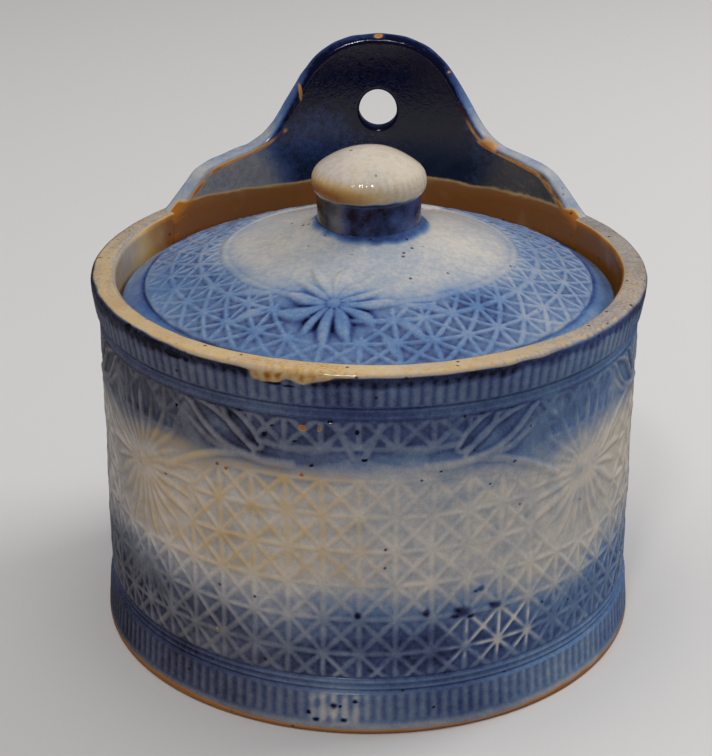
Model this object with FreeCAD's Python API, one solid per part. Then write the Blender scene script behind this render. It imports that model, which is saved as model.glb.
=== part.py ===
import FreeCAD, Part
import math
import os

# Salt crock: a round stoneware crock with a curved hanging plate behind its mouth and a domed lid
# that drops inside the rim. Sizes are in millimetres. The origin is the middle of the foot, +Z is up
# and the hanging plate stands at the back, towards +Y.

# Crock wall
wall_radius = 74.2            # outside of the wall between its two reeded bands
rim_height = 103.3            # foot to the top of the lip
gallery_wall = 4.9            # wall beside the lid, from the wall's outside to the mouth
shoulder_width = 2.3          # extra thickness of the wall below the mouth, which carries the ledge
lip_depth = 4.2               # plain lip above the reeded collar
lip_round = 1.6               # rounding of the lip, inside and outside
collar_depth = 9.8            # lip and reeded collar together
collar_projection = 1.8       # lip and reeds beyond the wall
foot_projection = 1.7         # foot strip and reeds beyond the wall
foot_strip_height = 3.6       # plain strip under the foot's reeds
foot_band_height = 12.1       # foot strip and reeds together
foot_round = 0.8              # rounding of the foot's outer edge

# Reeds and beads round the wall
reed_count = 162              # upright reeds in each band
reed_depth = 0.4              # ridge to groove
bead_radius = 0.5             # half-round bead lines beside the bands
bead_offset = 1.0             # band to the middle of the first bead
bead_pitch = 1.8              # first bead to second bead

# Floor
foot_recess = 3.0             # hollow under the floor
foot_ring_width = 6.0         # shoulder inside the foot that the floor lies on
floor_thickness = 6.5
luting_gap = 0.1              # slip joint round a piece let into the wall

# Ledge for the lid
seat_depth = 13.1             # lip to the top of the ledge
ledge_height = 5.5            # ledge ring, on the wall's shoulder
ledge_overhang = 3.0          # ledge ring inside the wall
ledge_edge = 2.4              # upright inner face of the ledge ring
ledge_round = 0.9

# Hanging plate. Half angles are in degrees round the Z axis, from the plate's middle.
plate_height = 45.3           # rim to the top of the plate
plate_thickness = 5.9
plate_head_half_angle = 12.2  # where the level of the top meets the line of the flank
plate_head_round = 30.0       # round of the plate's head
plate_neck_half_angle = 27.6  # where the flank meets the line of the shoulder
plate_neck_height = 14.5
plate_neck_round = 20.6       # hollow between flank and shoulder
plate_shoulder_half_angle = 45.5
plate_shoulder_height = 10.3
plate_shoulder_round = 16.6
plate_foot_half_angle = 55.5  # ends of the plate on the rim
plate_edge_round = 1.5        # softened edges of the plate, under half its thickness
hole_radius = 6.1             # nail hole
hole_height = 22.9            # rim to the middle of the hole

# Lid
lid_clearance = 1.4           # round the lid inside the mouth
lid_edge_height = 4.7         # ledge to the top of the lid's edge
lid_edge_round = 1.8
lid_border_width = 6.0        # plain sloping border outside the incised ring
lid_border_rise = 3.5
ring_groove_radius = 0.6      # incised ring between border and dome
ring_groove_lift = 0.25       # middle of the groove above the border's edge
dome_rise = 15.75             # incised ring to the flat under the knob
dome_bulge = 0.7              # how far the dome swells above a straight slope
dome_wall = 5.2               # thickness of the lid
seat_land = 7.0               # flat under the lid's edge that rests on the ledge

# Knob
neck_radius = 14.2
neck_height = 9.9
neck_flare = 1.2              # neck's foot beyond the neck
neck_flare_height = 1.8
cap_overhang = 1.3            # cap beyond the neck
cap_under_height = 3.1        # underside of the cap
cap_dome_height = 8.75        # widest part of the cap to its top
cap_shoulder_round = 5.0      # round of the cap's side
knob_margin = 0.6             # flat on the lid beyond the knob's foot

# Sizes that follow
collar_radius = wall_radius + collar_projection
foot_radius = wall_radius + foot_projection
gallery_radius = wall_radius - gallery_wall
well_radius = gallery_radius - shoulder_width
foot_inner_radius = well_radius - foot_ring_width
collar_height = rim_height - collar_depth
seat_height = rim_height - seat_depth
shoulder_height = seat_height - ledge_height
lid_radius = gallery_radius - lid_clearance
dome_radius = lid_radius - lid_border_width
lid_edge_top = seat_height + lid_edge_height
dome_foot_height = lid_edge_top + lid_border_rise
knob_height = dome_foot_height + dome_rise
knob_foot_radius = neck_radius + neck_flare
boss_radius = knob_foot_radius + knob_margin
cap_radius = neck_radius + cap_overhang
plate_outer_radius = gallery_radius + plate_thickness
hole_centre = rim_height + hole_height

Z_AXIS = FreeCAD.Vector(0, 0, 1)
ORIGIN = FreeCAD.Vector(0, 0, 0)
FAN_REACH = (0.2, 1.1)        # the fan that cuts the plate, from inside its ring to outside it
CORNER_ROOM = 0.49            # most of a side that one corner's round may take
EDGE_ROOM = 0.9               # the same where only one end of the side is rounded
TOUCH = 0.01                  # near enough to lie on a face


def upright(across, height):
    """Point of the XZ plane, where every section and the plate's outline are drawn."""
    return FreeCAD.Vector(across, 0, height)


def segment(start, end):
    """Straight edge."""
    return Part.makeLine(start, end)


def arc(start, middle, end):
    """Round edge through three points."""
    return Part.Arc(start, middle, end).toShape()


def corner_round(before, corner, after, radius, room):
    """Start, middle and end of the arc that rounds a corner, held to a share of the two sides beside it."""
    back = before.sub(corner)
    on = after.sub(corner)
    longest = room * min(back.Length, on.Length)
    back.normalize()
    on.normalize()
    half_angle = math.acos(max(-1.0, min(1.0, back.dot(on)))) / 2
    reach = min(radius / math.tan(half_angle), longest)
    held_radius = reach * math.tan(half_angle)
    inward = back + on
    inward.normalize()
    middle = corner + inward * (held_radius / math.sin(half_angle) - held_radius)
    return corner + back * reach, middle, corner + on * reach


def rounded_wire(corners):
    """Closed wire through (across, height, round) corners, each round made by a tangent arc."""
    points = [upright(across, height) for across, height, _ in corners]
    count = len(points)
    edges = []
    ends = []
    for index, point in enumerate(points):
        radius = corners[index][2]
        if radius == 0:
            ends.append((point, point))
            continue
        following = points[(index + 1) % count]
        start, middle, end = corner_round(points[index - 1], point, following, radius, CORNER_ROOM)
        edges.append(arc(start, middle, end))
        ends.append((start, end))
    for index in range(count):
        edges.append(segment(ends[index][1], ends[(index + 1) % count][0]))
    return Part.Wire(Part.__sortEdges__(edges))


def turned(wire, sweep=360.0, start=0.0):
    """Solid made by turning a section about the Z axis, from the start angle through the sweep."""
    solid = Part.Face(wire).revolve(ORIGIN, Z_AXIS, sweep)
    solid.rotate(ORIGIN, Z_AXIS, start)
    return solid


def reeded_ring(inner_radius, ridge_radius, bottom, top):
    """Upright band whose outside is a row of round reeds."""
    step = 2 * math.pi / reed_count
    groove_radius = ridge_radius - reed_depth

    def place(radius, turn):
        return FreeCAD.Vector(radius * math.cos(turn), radius * math.sin(turn), bottom)

    reeds = []
    for index in range(reed_count):
        turn = index * step
        reeds.append(arc(place(groove_radius, turn), place(ridge_radius, turn + step / 2),
                         place(groove_radius, turn + step)))
    band = Part.Face(Part.Wire(reeds)).extrude(FreeCAD.Vector(0, 0, top - bottom))
    return band.cut(Part.makeCylinder(inner_radius, top - bottom, FreeCAD.Vector(0, 0, bottom)))


def wall_section(round_of_lip):
    """Section of the wall, from the foot's inner edge round the outside and back down the inside."""
    collar_groove = collar_radius - reed_depth
    foot_groove = foot_radius - reed_depth
    return rounded_wire([
        (foot_inner_radius, 0, 0),
        (foot_radius, 0, foot_round),
        (foot_radius, foot_strip_height, 0),
        (foot_groove, foot_strip_height, 0),
        (foot_groove, foot_band_height, 0),
        (wall_radius, foot_band_height, 0),
        (wall_radius, collar_height, 0),
        (collar_groove, collar_height, 0),
        (collar_groove, rim_height - lip_depth, 0),
        (collar_radius, rim_height - lip_depth, 0),
        (collar_radius, rim_height, round_of_lip),
        (gallery_radius, rim_height, round_of_lip),
        (gallery_radius, shoulder_height, 0),
        (well_radius, shoulder_height, 0),
        (well_radius, foot_recess, 0),
        (foot_inner_radius, foot_recess, 0),
    ])


def make_wall():
    """Round wall: rounded lip in front, square lip under the plate, reeded bands and bead lines."""
    end_angle = plate_foot_half_angle
    behind = turned(wall_section(0), 2 * end_angle, 90 - end_angle)
    before = turned(wall_section(lip_round), 360 - 2 * end_angle, 90 + end_angle)
    bands = [
        reeded_ring(wall_radius - reed_depth, collar_radius, collar_height, rim_height - lip_depth),
        reeded_ring(wall_radius - reed_depth, foot_radius, foot_strip_height, foot_band_height),
    ]
    for first, direction in ((collar_height - bead_offset, -1), (foot_band_height + bead_offset, 1)):
        for step in range(2):
            height = first + direction * step * bead_pitch
            bands.append(Part.makeTorus(wall_radius, bead_radius, FreeCAD.Vector(0, 0, height)))
    return before.fuse([behind] + bands).removeSplitter()


def make_floor():
    """Floor slab, lying on the shoulder inside the foot."""
    return Part.makeCylinder(well_radius - luting_gap, floor_thickness, FreeCAD.Vector(0, 0, foot_recess))


def make_ledge():
    """Ring on the wall's upper shoulder. Its underside slopes out to the wall."""
    inner_radius = well_radius - ledge_overhang
    outer_radius = gallery_radius - luting_gap
    return turned(rounded_wire([
        (well_radius, shoulder_height, 0),
        (outer_radius, shoulder_height, 0),
        (outer_radius, seat_height, 0),
        (inner_radius, seat_height, ledge_round),
        (inner_radius, seat_height - ledge_edge, 0),
    ]))


def fanned(wire, depth):
    """The outline drawn on the plane that touches the plate's back, drawn in towards the Z axis."""
    share = FreeCAD.Matrix()
    share.scale(depth / plate_outer_radius, 1, 1)
    copy = wire.transformGeometry(share)
    copy.translate(FreeCAD.Vector(0, depth, 0))
    return copy


def make_plate():
    """Curved hanging plate: the rim's own ring, cut by a fan of lines through the crest's outline."""
    right = [
        (plate_foot_half_angle, 0, 0),
        (plate_shoulder_half_angle, plate_shoulder_height, plate_shoulder_round),
        (plate_neck_half_angle, plate_neck_height, plate_neck_round),
        (plate_head_half_angle, plate_height, plate_head_round),
    ]
    right = [(plate_outer_radius * math.tan(math.radians(angle)), height, round_size)
             for angle, height, round_size in right]
    left = [(-across, height, round_size) for across, height, round_size in reversed(right)]
    outline = rounded_wire([(across, rim_height + height, round_size)
                            for across, height, round_size in right + left])
    fan = Part.makeLoft([fanned(outline, share * plate_outer_radius) for share in FAN_REACH], True, True)
    base = FreeCAD.Vector(0, 0, rim_height)
    ring = Part.makeCylinder(plate_outer_radius, 2 * plate_height, base)
    ring = ring.cut(Part.makeCylinder(gallery_radius, 2 * plate_height, base))
    plate = fan.common(ring)
    edges = [edge for edge in plate.Edges if softened(edge)]
    plate = plate.makeFillet(plate_edge_round, edges)
    hole = Part.makeCylinder(hole_radius, 2 * plate_outer_radius, FreeCAD.Vector(0, 0, hole_centre),
                             FreeCAD.Vector(0, 1, 0))
    return plate.cut(hole)


def softened(edge):
    """True for the plate's edges above the rim that run along its two curved faces."""
    if edge.BoundBox.ZMax < rim_height + TOUCH:
        return False
    middle = edge.valueAt((edge.FirstParameter + edge.LastParameter) / 2)
    radius = math.hypot(middle.x, middle.y)
    return min(abs(radius - gallery_radius), abs(radius - plate_outer_radius)) < TOUCH


def make_lid():
    """Domed lid with a sloping border, an incised ring, a flat for the knob and a hollow underside."""
    seat_inner = lid_radius - seat_land
    under_height = knob_height - dome_wall
    centre = upright(0, knob_height)
    under_centre = upright(0, under_height)
    under_top = upright(boss_radius, under_height)
    under_swell = upright((seat_inner + boss_radius) / 2, (seat_height + under_height) / 2 + dome_bulge)
    under_foot = upright(seat_inner, seat_height)
    edge_foot = upright(lid_radius, seat_height)
    dome_foot = upright(dome_radius, dome_foot_height)
    dome_swell = upright((dome_radius + boss_radius) / 2, (dome_foot_height + knob_height) / 2 + dome_bulge)
    dome_top = upright(boss_radius, knob_height)
    edge_top = upright(lid_radius, lid_edge_top)
    start, middle, end = corner_round(edge_foot, edge_top, dome_foot, lid_edge_round, EDGE_ROOM)
    edges = [
        segment(under_centre, under_top),
        arc(under_top, under_swell, under_foot),
        segment(under_foot, edge_foot),
        segment(edge_foot, start),
        arc(start, middle, end),
        segment(end, dome_foot),
        arc(dome_foot, dome_swell, dome_top),
        segment(dome_top, centre),
        segment(centre, under_centre),
    ]
    lid = turned(Part.Wire(Part.__sortEdges__(edges)))
    groove = FreeCAD.Vector(0, 0, dome_foot_height + ring_groove_lift)
    return lid.cut(Part.makeTorus(dome_radius, ring_groove_radius, groove))


def make_knob():
    """Mushroom knob: flared neck under an oval cap of two tangent rounds, shoulder and crown."""
    neck_top = knob_height + neck_height
    cap_middle = neck_top + cap_under_height
    cap_top = cap_middle + cap_dome_height
    bevel = math.sqrt(0.5)
    foot = upright(knob_foot_radius, knob_height)
    flare = upright(knob_foot_radius - neck_flare * bevel, knob_height + neck_flare_height * (1 - bevel))
    neck_foot = upright(neck_radius, knob_height + neck_flare_height)
    neck_end = upright(neck_radius, neck_top)
    under = upright(neck_radius + cap_overhang * bevel, cap_middle - cap_under_height * bevel)
    cap_side = upright(cap_radius, cap_middle)
    reach = cap_radius - cap_shoulder_round
    crown = reach ** 2 + cap_dome_height ** 2 - cap_shoulder_round ** 2
    crown /= 2 * (cap_dome_height - cap_shoulder_round)
    lean = math.atan2(reach, cap_middle - (cap_top - crown))
    side = (math.pi / 2 + lean) / 2

    def on_shoulder(angle):
        return upright(reach + cap_shoulder_round * math.sin(angle),
                       cap_middle + cap_shoulder_round * math.cos(angle))

    def on_crown(angle):
        return upright(crown * math.sin(angle), cap_top - crown + crown * math.cos(angle))

    edges = [
        segment(upright(0, knob_height), foot),
        arc(foot, flare, neck_foot),
        segment(neck_foot, neck_end),
        arc(neck_end, under, cap_side),
        arc(cap_side, on_shoulder(side), on_shoulder(lean)),
        arc(on_shoulder(lean), on_crown(lean / 2), upright(0, cap_top)),
        segment(upright(0, cap_top), upright(0, knob_height)),
    ]
    return turned(Part.Wire(Part.__sortEdges__(edges)))


def main():
    """Make every piece, check that it is one sound solid and write it."""
    os.makedirs("parts", exist_ok=True)
    makers = {
        "crock_wall": make_wall,
        "crock_floor": make_floor,
        "lid_ledge": make_ledge,
        "hanger_plate": make_plate,
        "lid_dome": make_lid,
        "lid_knob": make_knob,
    }
    for name, make in makers.items():
        shape = make()
        if len(shape.Solids) != 1 or not shape.isValid():
            raise ValueError(name + " is not one sound solid")
        solid = shape.Solids[0]
        if solid.Volume < 0:
            solid.reverse()
        box = solid.optimalBoundingBox(False)
        print(name, "%.1f cm3" % (solid.Volume / 1000), "%.1f x %.1f x %.1f mm from z %.2f" % (
            box.XLength, box.YLength, box.ZLength, box.ZMin))
        solid.exportStep("parts/" + name + ".step")


if __name__ == "__main__":
    main()
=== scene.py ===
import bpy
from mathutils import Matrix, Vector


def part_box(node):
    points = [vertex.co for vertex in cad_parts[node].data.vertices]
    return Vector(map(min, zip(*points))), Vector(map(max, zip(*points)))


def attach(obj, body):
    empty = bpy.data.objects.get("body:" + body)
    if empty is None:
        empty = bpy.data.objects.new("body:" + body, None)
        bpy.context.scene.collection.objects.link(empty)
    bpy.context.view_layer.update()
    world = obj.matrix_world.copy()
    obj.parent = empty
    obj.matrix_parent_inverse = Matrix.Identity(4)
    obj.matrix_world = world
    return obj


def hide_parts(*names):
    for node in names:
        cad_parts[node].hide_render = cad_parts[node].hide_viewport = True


bl_info = {
    "name": "Salt crock",
    "version": (1, 0, 0),
    "blender": (4, 5, 0),
    "location": "View3D > Sidebar > Salt crock",
    "description": "Dresses the packed salt crock as press-moulded stoneware under a cobalt glaze",
    "category": "Object",
}

import math

import bpy
import numpy as np
from bpy.props import FloatProperty, FloatVectorProperty, IntProperty, PointerProperty
from bpy.types import Operator, Panel, PropertyGroup

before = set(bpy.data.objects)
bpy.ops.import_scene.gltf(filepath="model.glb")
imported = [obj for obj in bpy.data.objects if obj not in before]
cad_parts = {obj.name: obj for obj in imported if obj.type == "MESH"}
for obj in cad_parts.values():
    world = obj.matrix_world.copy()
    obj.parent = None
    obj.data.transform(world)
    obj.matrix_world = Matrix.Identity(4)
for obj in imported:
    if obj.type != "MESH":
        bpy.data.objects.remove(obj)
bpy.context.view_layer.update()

# Lengths in the functions below are millimetres, and angles round the crock are degrees from the front
# (-Y) towards +X. Properties hold metres, as Blender does.
MM = 0.001

WALL_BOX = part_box("crock_wall")
LID_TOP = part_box("lid_dome")[1]
LID_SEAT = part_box("lid_dome")[0]
KNOB_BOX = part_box("lid_knob")
PLATE_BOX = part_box("hanger_plate")
LEDGE_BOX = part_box("lid_ledge")
FLOOR_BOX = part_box("crock_floor")

# Mesh columns and rows.
REED_COLUMNS = 8                    # columns for each reed of the collar and foot, and so of the wall
BEAD_ROWS = 22                      # rows over a pair of bead lines
WALL_ROWS = 208
WALL_BANDS = 4                      # rings that the wall's relief is cut into
INSIDE_COLUMNS = 360                # columns of the well's lining and of the ledge
FLOOR_COLUMNS = 240
PLATE_TOP_COLUMNS = 400             # columns along the plate's top edge, and along its hidden base
PLATE_BASE_COLUMNS = 80
PLATE_FACE_ROWS = 30                # rows from the nail hole to the plate's edge
RELAX_ROUNDS = 500                  # times that the plate's grid is evened out
LID_BODY_COLUMNS = 480
LID_COLUMNS = 720                   # columns and rows of the lid's relief
LID_ROWS = 130
KNOB_COLUMNS = 360

HIDDEN_RADIUS = 71.5                # backs of the outer rings, inside the thickness of the wall
BEAD_OFFSET = 1.0                   # reeded band to the middle of the first bead, and last bead to the relief
BEAD_HALF_WIDTH = 0.85
BEAD_RISE = 0.38
LIP_ROUND = 1.6

# The wall's pattern is drawn at its own heights, which are stretched to lie between the two pairs of beads.
PATTERN_FOOT = 13.4
PATTERN_TOP = 86.2
PATTERN_TURN = 0.55                 # pattern's middle, to the right of the front
FLOWER_TURN = 51.0                  # daisies stand this far from the middle of the front and of the back
FLOWER_HEIGHT = 61.5
FLOWER_PETALS = 24
PETAL_LENGTH = 25.0
PETAL_HALF_WIDTH = 1.35
LATTICE_FOOT = 11.2                 # height of a row of the lattice, from which the others are counted
FOOT_RING = 6.0                     # width of the ring under the floor slab's edge
LEDGE_OVERHANG = 3.0                # ledge inside the well's wall
HOLE_ROUND = 0.9                    # rounding of the nail hole's edges
PLATE_TUCK = 9.0                    # plate's base below the ends of its outline, inside the collar
LID_LAND = 7.0                      # land under the lid's edge, which lies on the ledge
LID_PATTERN_EDGE = 61.5             # outside of the lid's pressed pattern
LID_RINGS = (39.5, 46.0)            # raised rings inside the lid's lattice
LID_LATTICE_ROW = 8.0
LID_PETALS = 12
LID_PETAL_LENGTH = 18.0
LID_PETAL_HALF_WIDTH = 2.6
KNOB_RIBS = 44                      # faint ribs round the cap
KNOB_SHOULDER = 5.0                 # round of the cap's shoulder

SENSOR_HEIGHT = 36.0                # frame that the camera's lens is given for
LIGHT_AIM = (0, 0, 0.06)            # what the lights point at, in metres
MIX_A, MIX_B, MIX_OUT = 6, 7, 2     # a Mix node's sockets for two colours, and for the mixed one


def linear(hex_colour):
    """sRGB hex colour as linear red, green and blue."""
    parts = [int(hex_colour[start:start + 2], 16) / 255 for start in (1, 3, 5)]
    return [part / 12.92 if part <= 0.04045 else ((part + 0.055) / 1.055) ** 2.4 for part in parts]


def metres(name, description, default):
    """Property that holds a length in metres."""
    return FloatProperty(name=name, description=description, default=default, unit="LENGTH")


def flat_colour(name, description, hex_colour):
    """Property that holds a colour, given as sRGB hex."""
    return FloatVectorProperty(name=name, description=description, default=linear(hex_colour),
                               subtype="COLOR", size=3, min=0, max=1)


class CrockSizes(PropertyGroup):
    """Sizes of the crock that a user would change."""

    ground_radius: metres("Ground radius", "Wall between the ribs of its relief", 0.0739)
    rim_height: metres("Rim height", "Foot to the top of the lip", WALL_BOX[1].z)
    collar_radius: metres("Collar radius", "Outside of the lip and the collar's reeds", WALL_BOX[1].x)
    collar_depth: metres("Collar depth", "Top of the lip to the foot of the collar's reeds", 0.0098)
    lip_depth: metres("Lip depth", "Plain lip above the collar's reeds", 0.0042)
    foot_radius: metres("Foot radius", "Outside of the foot", 0.0759)
    foot_band: metres("Foot band", "Floor to the top of the foot's reeds", 0.0121)
    foot_strip: metres("Foot strip", "Plain strip under the foot's reeds", 0.0036)
    bead_pitch: metres("Bead pitch", "First bead line to the second", 0.0018)
    mouth_radius: metres("Mouth radius", "Inside of the rim, round the lid", 0.0693)
    well_radius: metres("Well radius", "Inside of the crock below the ledge", 0.067)
    reeds: IntProperty(
        name="Reeds", description="Upright reeds round the collar and round the foot",
        default=162, min=24)
    reed_depth: metres("Reed depth", "Ridge of a reed to its groove", 0.00032)
    lattice_columns: IntProperty(
        name="Lattice columns", description="Columns of the pressed lattice round the wall",
        default=50, min=8)
    lattice_row: metres("Lattice row", "Height of one row of the lattice", 0.0098)
    rib_height: metres("Rib height", "Ribs of the lattice above the ground", 0.0006)
    petal_height: metres("Petal height", "Petals of the daisies above the ground", 0.0008)


class CrestSizes(PropertyGroup):
    """Sizes of the hanging plate behind the mouth."""

    top: metres("Top", "Height of the top of the plate", PLATE_BOX[1].z)
    inner_radius: metres("Inner radius", "Face towards the lid", 0.06925)
    thickness: metres("Thickness", "Inner face to outer face", 0.006)
    hole_radius: metres("Hole radius", "Nail hole", 0.0061)
    hole_height: metres("Hole height", "Rim to the middle of the nail hole", 0.0229)
    edge_round: metres("Edge round", "Rounding of the plate's worn edges", 0.0019)


class LidSizes(PropertyGroup):
    """Sizes of the lid and its knob."""

    radius: metres("Lid radius", "Edge of the lid", LID_TOP.x)
    seat_height: metres("Seat height", "Underside of the lid's edge", LID_SEAT.z)
    edge_height: metres("Edge height", "Upright edge of the lid", 0.0047)
    border_rise: metres("Border rise", "Edge to the incised ring", 0.0035)
    crown_height: metres("Crown height", "Flat that the knob stands on", LID_TOP.z)
    wall: metres("Wall", "Thickness of the lid at its crown", 0.0052)
    ring_radius: metres("Ring radius", "Incised ring between border and dome", 0.0619)
    lattice_columns: IntProperty(
        name="Lattice columns", description="Columns of the lattice round the lid", default=36, min=6)
    flowers: IntProperty(
        name="Flowers", description="Daisies round the lid", default=2, min=1)
    flower_radius: metres("Flower radius", "Lid's axis to the middle of a daisy", 0.0405)
    first_flower: FloatProperty(
        name="First flower", description="Front to the first daisy",
        default=math.radians(-10.5), subtype="ANGLE")
    knob_top: metres("Knob top", "Height of the top of the knob", KNOB_BOX[1].z)
    cap_radius: metres("Cap radius", "Widest part of the knob", KNOB_BOX[1].x)
    cap_dome: metres("Cap dome", "Widest part of the knob to its top", 0.00875)
    neck_radius: metres("Neck radius", "Upright neck of the knob", 0.0142)
    neck_height: metres("Neck height", "Lid to the underside of the cap", 0.0099)


class GlazeColours(PropertyGroup):
    """Colours of the glaze from no cobalt to the most, and of the iron, clay and specks."""

    cream: flat_colour("Cream", "Glaze with no cobalt in it", "#c4bcb0")
    mist: flat_colour("Mist", "Glaze with a breath of cobalt", "#989fa8")
    blue: flat_colour("Blue", "Sprayed cobalt", "#5779a4")
    deep: flat_colour("Deep blue", "Cobalt pooled in the hollows", "#344a80")
    navy: flat_colour("Navy", "Thick cobalt", "#080d28")
    tan: flat_colour("Tan", "Thin glaze over iron-bearing clay", "#c6a66c")
    brown: flat_colour("Brown", "Iron-bearing glaze where it is thicker", "#8f5720")
    clay: flat_colour("Clay", "Bare fired clay", "#a8621a")
    speck: flat_colour("Speck", "Burnt iron specks and pinholes", "#241c18")


class StageSettings(PropertyGroup):
    """Camera, floor and light."""

    lens: FloatProperty(
        name="Lens", description="Focal length for a frame 36 mm high",
        default=92.4, subtype="DISTANCE_CAMERA")
    camera_place: FloatVectorProperty(
        name="Camera", description="Place of the camera", subtype="TRANSLATION", size=3,
        default=(0.01925, -0.5, 0.29277))
    camera_pitch: FloatProperty(
        name="Pitch", description="Tilt of the camera below the level", default=math.radians(24.176),
        subtype="ANGLE")
    camera_heading: FloatProperty(
        name="Heading", description="Turn of the camera to the left of +Y", default=math.radians(2.603),
        subtype="ANGLE")
    floor_colour: flat_colour("Floor", "Pale paper that the crock stands on", "#c7c5c4")
    room_strength: FloatProperty(
        name="Room light", description="Even light from all round", default=0.29, min=0)
    dim_reflection: FloatProperty(
        name="Reflected room", description="Share of the room and floor that the glaze mirrors", default=0.11,
        min=0, max=1)
    ceiling_power: FloatProperty(
        name="Ceiling light", description="Wide soft light overhead", default=10.0, min=0, unit="POWER")
    key_power: FloatProperty(
        name="Key light", description="Soft light above and behind, to the right", default=9.5,
        min=0, unit="POWER")
    glint_power: FloatProperty(
        name="Glint light", description="Small light above the camera that draws glints", default=2.4,
        min=0, unit="POWER")


def smooth(low, high, value):
    """Smooth step: 0 below low, 1 above high, 3t^2 - 2t^3 between."""
    share = np.clip((value - low) / (high - low), 0, 1)
    return share * share * (3 - 2 * share)


def ridge(distance, crest, foot):
    """Cross-section of a soft rib: 1 within crest of its line, falling smoothly to 0 at foot."""
    return 1 - smooth(crest, foot, distance)


def waver(seed, turn, other, cycles, pitch, terms=14):
    """Slow unevenness, mostly within -1 and 1: a sum of sines that close round the crock.

    Each has up to so many cycles round, and waves of at least the pitch along the other direction."""
    source = np.random.default_rng(seed)
    total = 0.0
    for _ in range(terms):
        round_cycles = source.integers(-cycles, cycles + 1)
        along = source.uniform(-1, 1) / pitch
        start = source.uniform(0, 2 * math.pi)
        total = total + np.sin(np.radians(turn) * round_cycles + 2 * math.pi * along * other + start)
    return total * math.sqrt(2 / terms) / 1.6


def path_distance(path, x, y):
    """Distance from each place to a line of straight runs, and the share of the line's length there."""
    path = np.asarray(path, float)
    runs = np.diff(path, axis=0)
    lengths = np.hypot(runs[:, 0], runs[:, 1])
    starts = np.concatenate([[0], np.cumsum(lengths)])
    best = np.full(x.shape, np.inf)
    share = np.zeros(x.shape)
    for corner, run, length, start in zip(path, runs, lengths, starts):
        along = np.clip(((x - corner[0]) * run[0] + (y - corner[1]) * run[1]) / length ** 2, 0, 1)
        distance = np.hypot(x - corner[0] - along * run[0], y - corner[1] - along * run[1])
        share = np.where(distance < best, (start + along * length) / starts[-1], share)
        best = np.minimum(best, distance)
    return best, share


def leaf(path, half_width, x, y):
    """Raised leaf along a line: a raised cosine whose width swells as a sine, with a groove for its rib."""
    distance, share = path_distance(path, x, y)
    width = half_width * np.sin(math.pi * np.clip(share, 0.03, 0.97) ** 0.75) + 0.1
    body = 0.5 + 0.5 * np.cos(math.pi * np.clip(distance / width, 0, 1))
    return body - 0.3 * np.exp(-(distance / 0.4) ** 2) * smooth(0.2, 0.8, body)


def scoop(path, half_width, x, y):
    """Hollow leaf: a raised rim at the sine-shaped outline, with a sunk middle."""
    distance, share = path_distance(path, x, y)
    width = half_width * np.sin(math.pi * np.clip(share, 0.05, 0.93) ** 0.9) ** 0.7 + 0.2
    return ridge(np.abs(distance - width), 0.2, 1.0) - 1.5 * (1 - smooth(0.2, 0.9, distance / width))


def daisy(across, up, petals, length, half_width):
    """Daisy from above: long petals of uneven length, slightly bent, round a small boss.

    A petal's half width is a sine of the distance from the middle. Its height is a raised cosine across
    it, grooved along the middle."""
    distance = np.hypot(across, up)
    turn = np.arctan2(across, up) * petals / (2 * math.pi)
    turn = turn + 0.16 * np.sin(distance / 4.0 + 3 * np.arctan2(across, up))
    number = np.round(turn)
    uneven = np.sin(2.4 * (number % petals) + 0.6)
    share = np.clip((distance - 1.5) / (length * (0.9 + 0.1 * uneven) - 1.5), 0, 1)
    width = half_width * (1 + 0.15 * uneven) * np.sin(math.pi * share ** 0.8) ** 0.9 + 0.15
    aside = np.abs(turn - number) * (2 * math.pi / petals) * distance
    body = (0.5 + 0.5 * np.cos(math.pi * np.clip(aside / width, 0, 1))) * smooth(1.0, 0.75, share)
    body = body - 0.28 * np.exp(-(aside / 0.4) ** 2) * smooth(0.2, 0.8, body)
    boss = 0.8 - 0.8 * smooth(1.0, 3.2, distance)
    return np.maximum(body, boss)


def lattice(column, row, width, height, crest, foot):
    """Pressed lattice: ribs along the columns, the rows and both diagonals of every cell.

    Column and row count cells, and the ribs are where either, their sum or their difference is whole."""
    diagonal = width * height / np.hypot(width, height)
    distance = np.minimum(np.abs(column - np.round(column)) * width, np.abs(row - np.round(row)) * height)
    for slant in (column + row, column - row):
        distance = np.minimum(distance, np.abs(slant - np.round(slant)) * diagonal)
    return ridge(distance, crest, foot)


def soften(field, rows, columns):
    """Gaussian blur of a field, in grid steps. Columns close on themselves; rows are mirrored at the ends."""
    doubled = np.concatenate([field, field[::-1]])
    row_waves = np.fft.fftfreq(doubled.shape[0])[:, None]
    column_waves = np.fft.rfftfreq(doubled.shape[1])[None, :]
    gain = np.exp(-2 * math.pi ** 2 * ((rows * row_waves) ** 2 + (columns * column_waves) ** 2))
    return np.fft.irfft2(np.fft.rfft2(doubled) * gain, s=doubled.shape)[:len(field)]


def pooled(field, rows, columns, depth):
    """Where the runny glaze gathers: the blurred surface less the surface, over a depth, held to -1..1."""
    return np.clip((soften(field, rows, columns) - field) / depth, -1, 1)


def spots(turn, height, places, radius):
    """Soft round and oval marks: a sum of bells at (turn, height, half width, half height)."""
    total = np.zeros(np.broadcast(turn, height).shape)
    for at_turn, at_height, wide, high in places:
        aside = np.radians((turn - at_turn + 180) % 360 - 180) * radius / wide
        total = np.maximum(total, np.exp(-(aside ** 2 + ((height - at_height) / high) ** 2) ** 2))
    return total


def patch(turn, low, high, soft):
    """Soft-edged stretch round the crock, 1 between two angles."""
    turn = (turn - (low + high) / 2 + 180) % 360 - 180
    half = (high - low) / 2
    return 1 - smooth(half - soft, half + soft, np.abs(turn))


def round_arc(radius, height, size, start, end, count):
    """Points of a round arc in section. Angles are degrees from outwards towards up."""
    angle = np.radians(np.linspace(start, end, count))
    return np.stack([radius + size * np.cos(angle), height + size * np.sin(angle)], 1)


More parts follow.
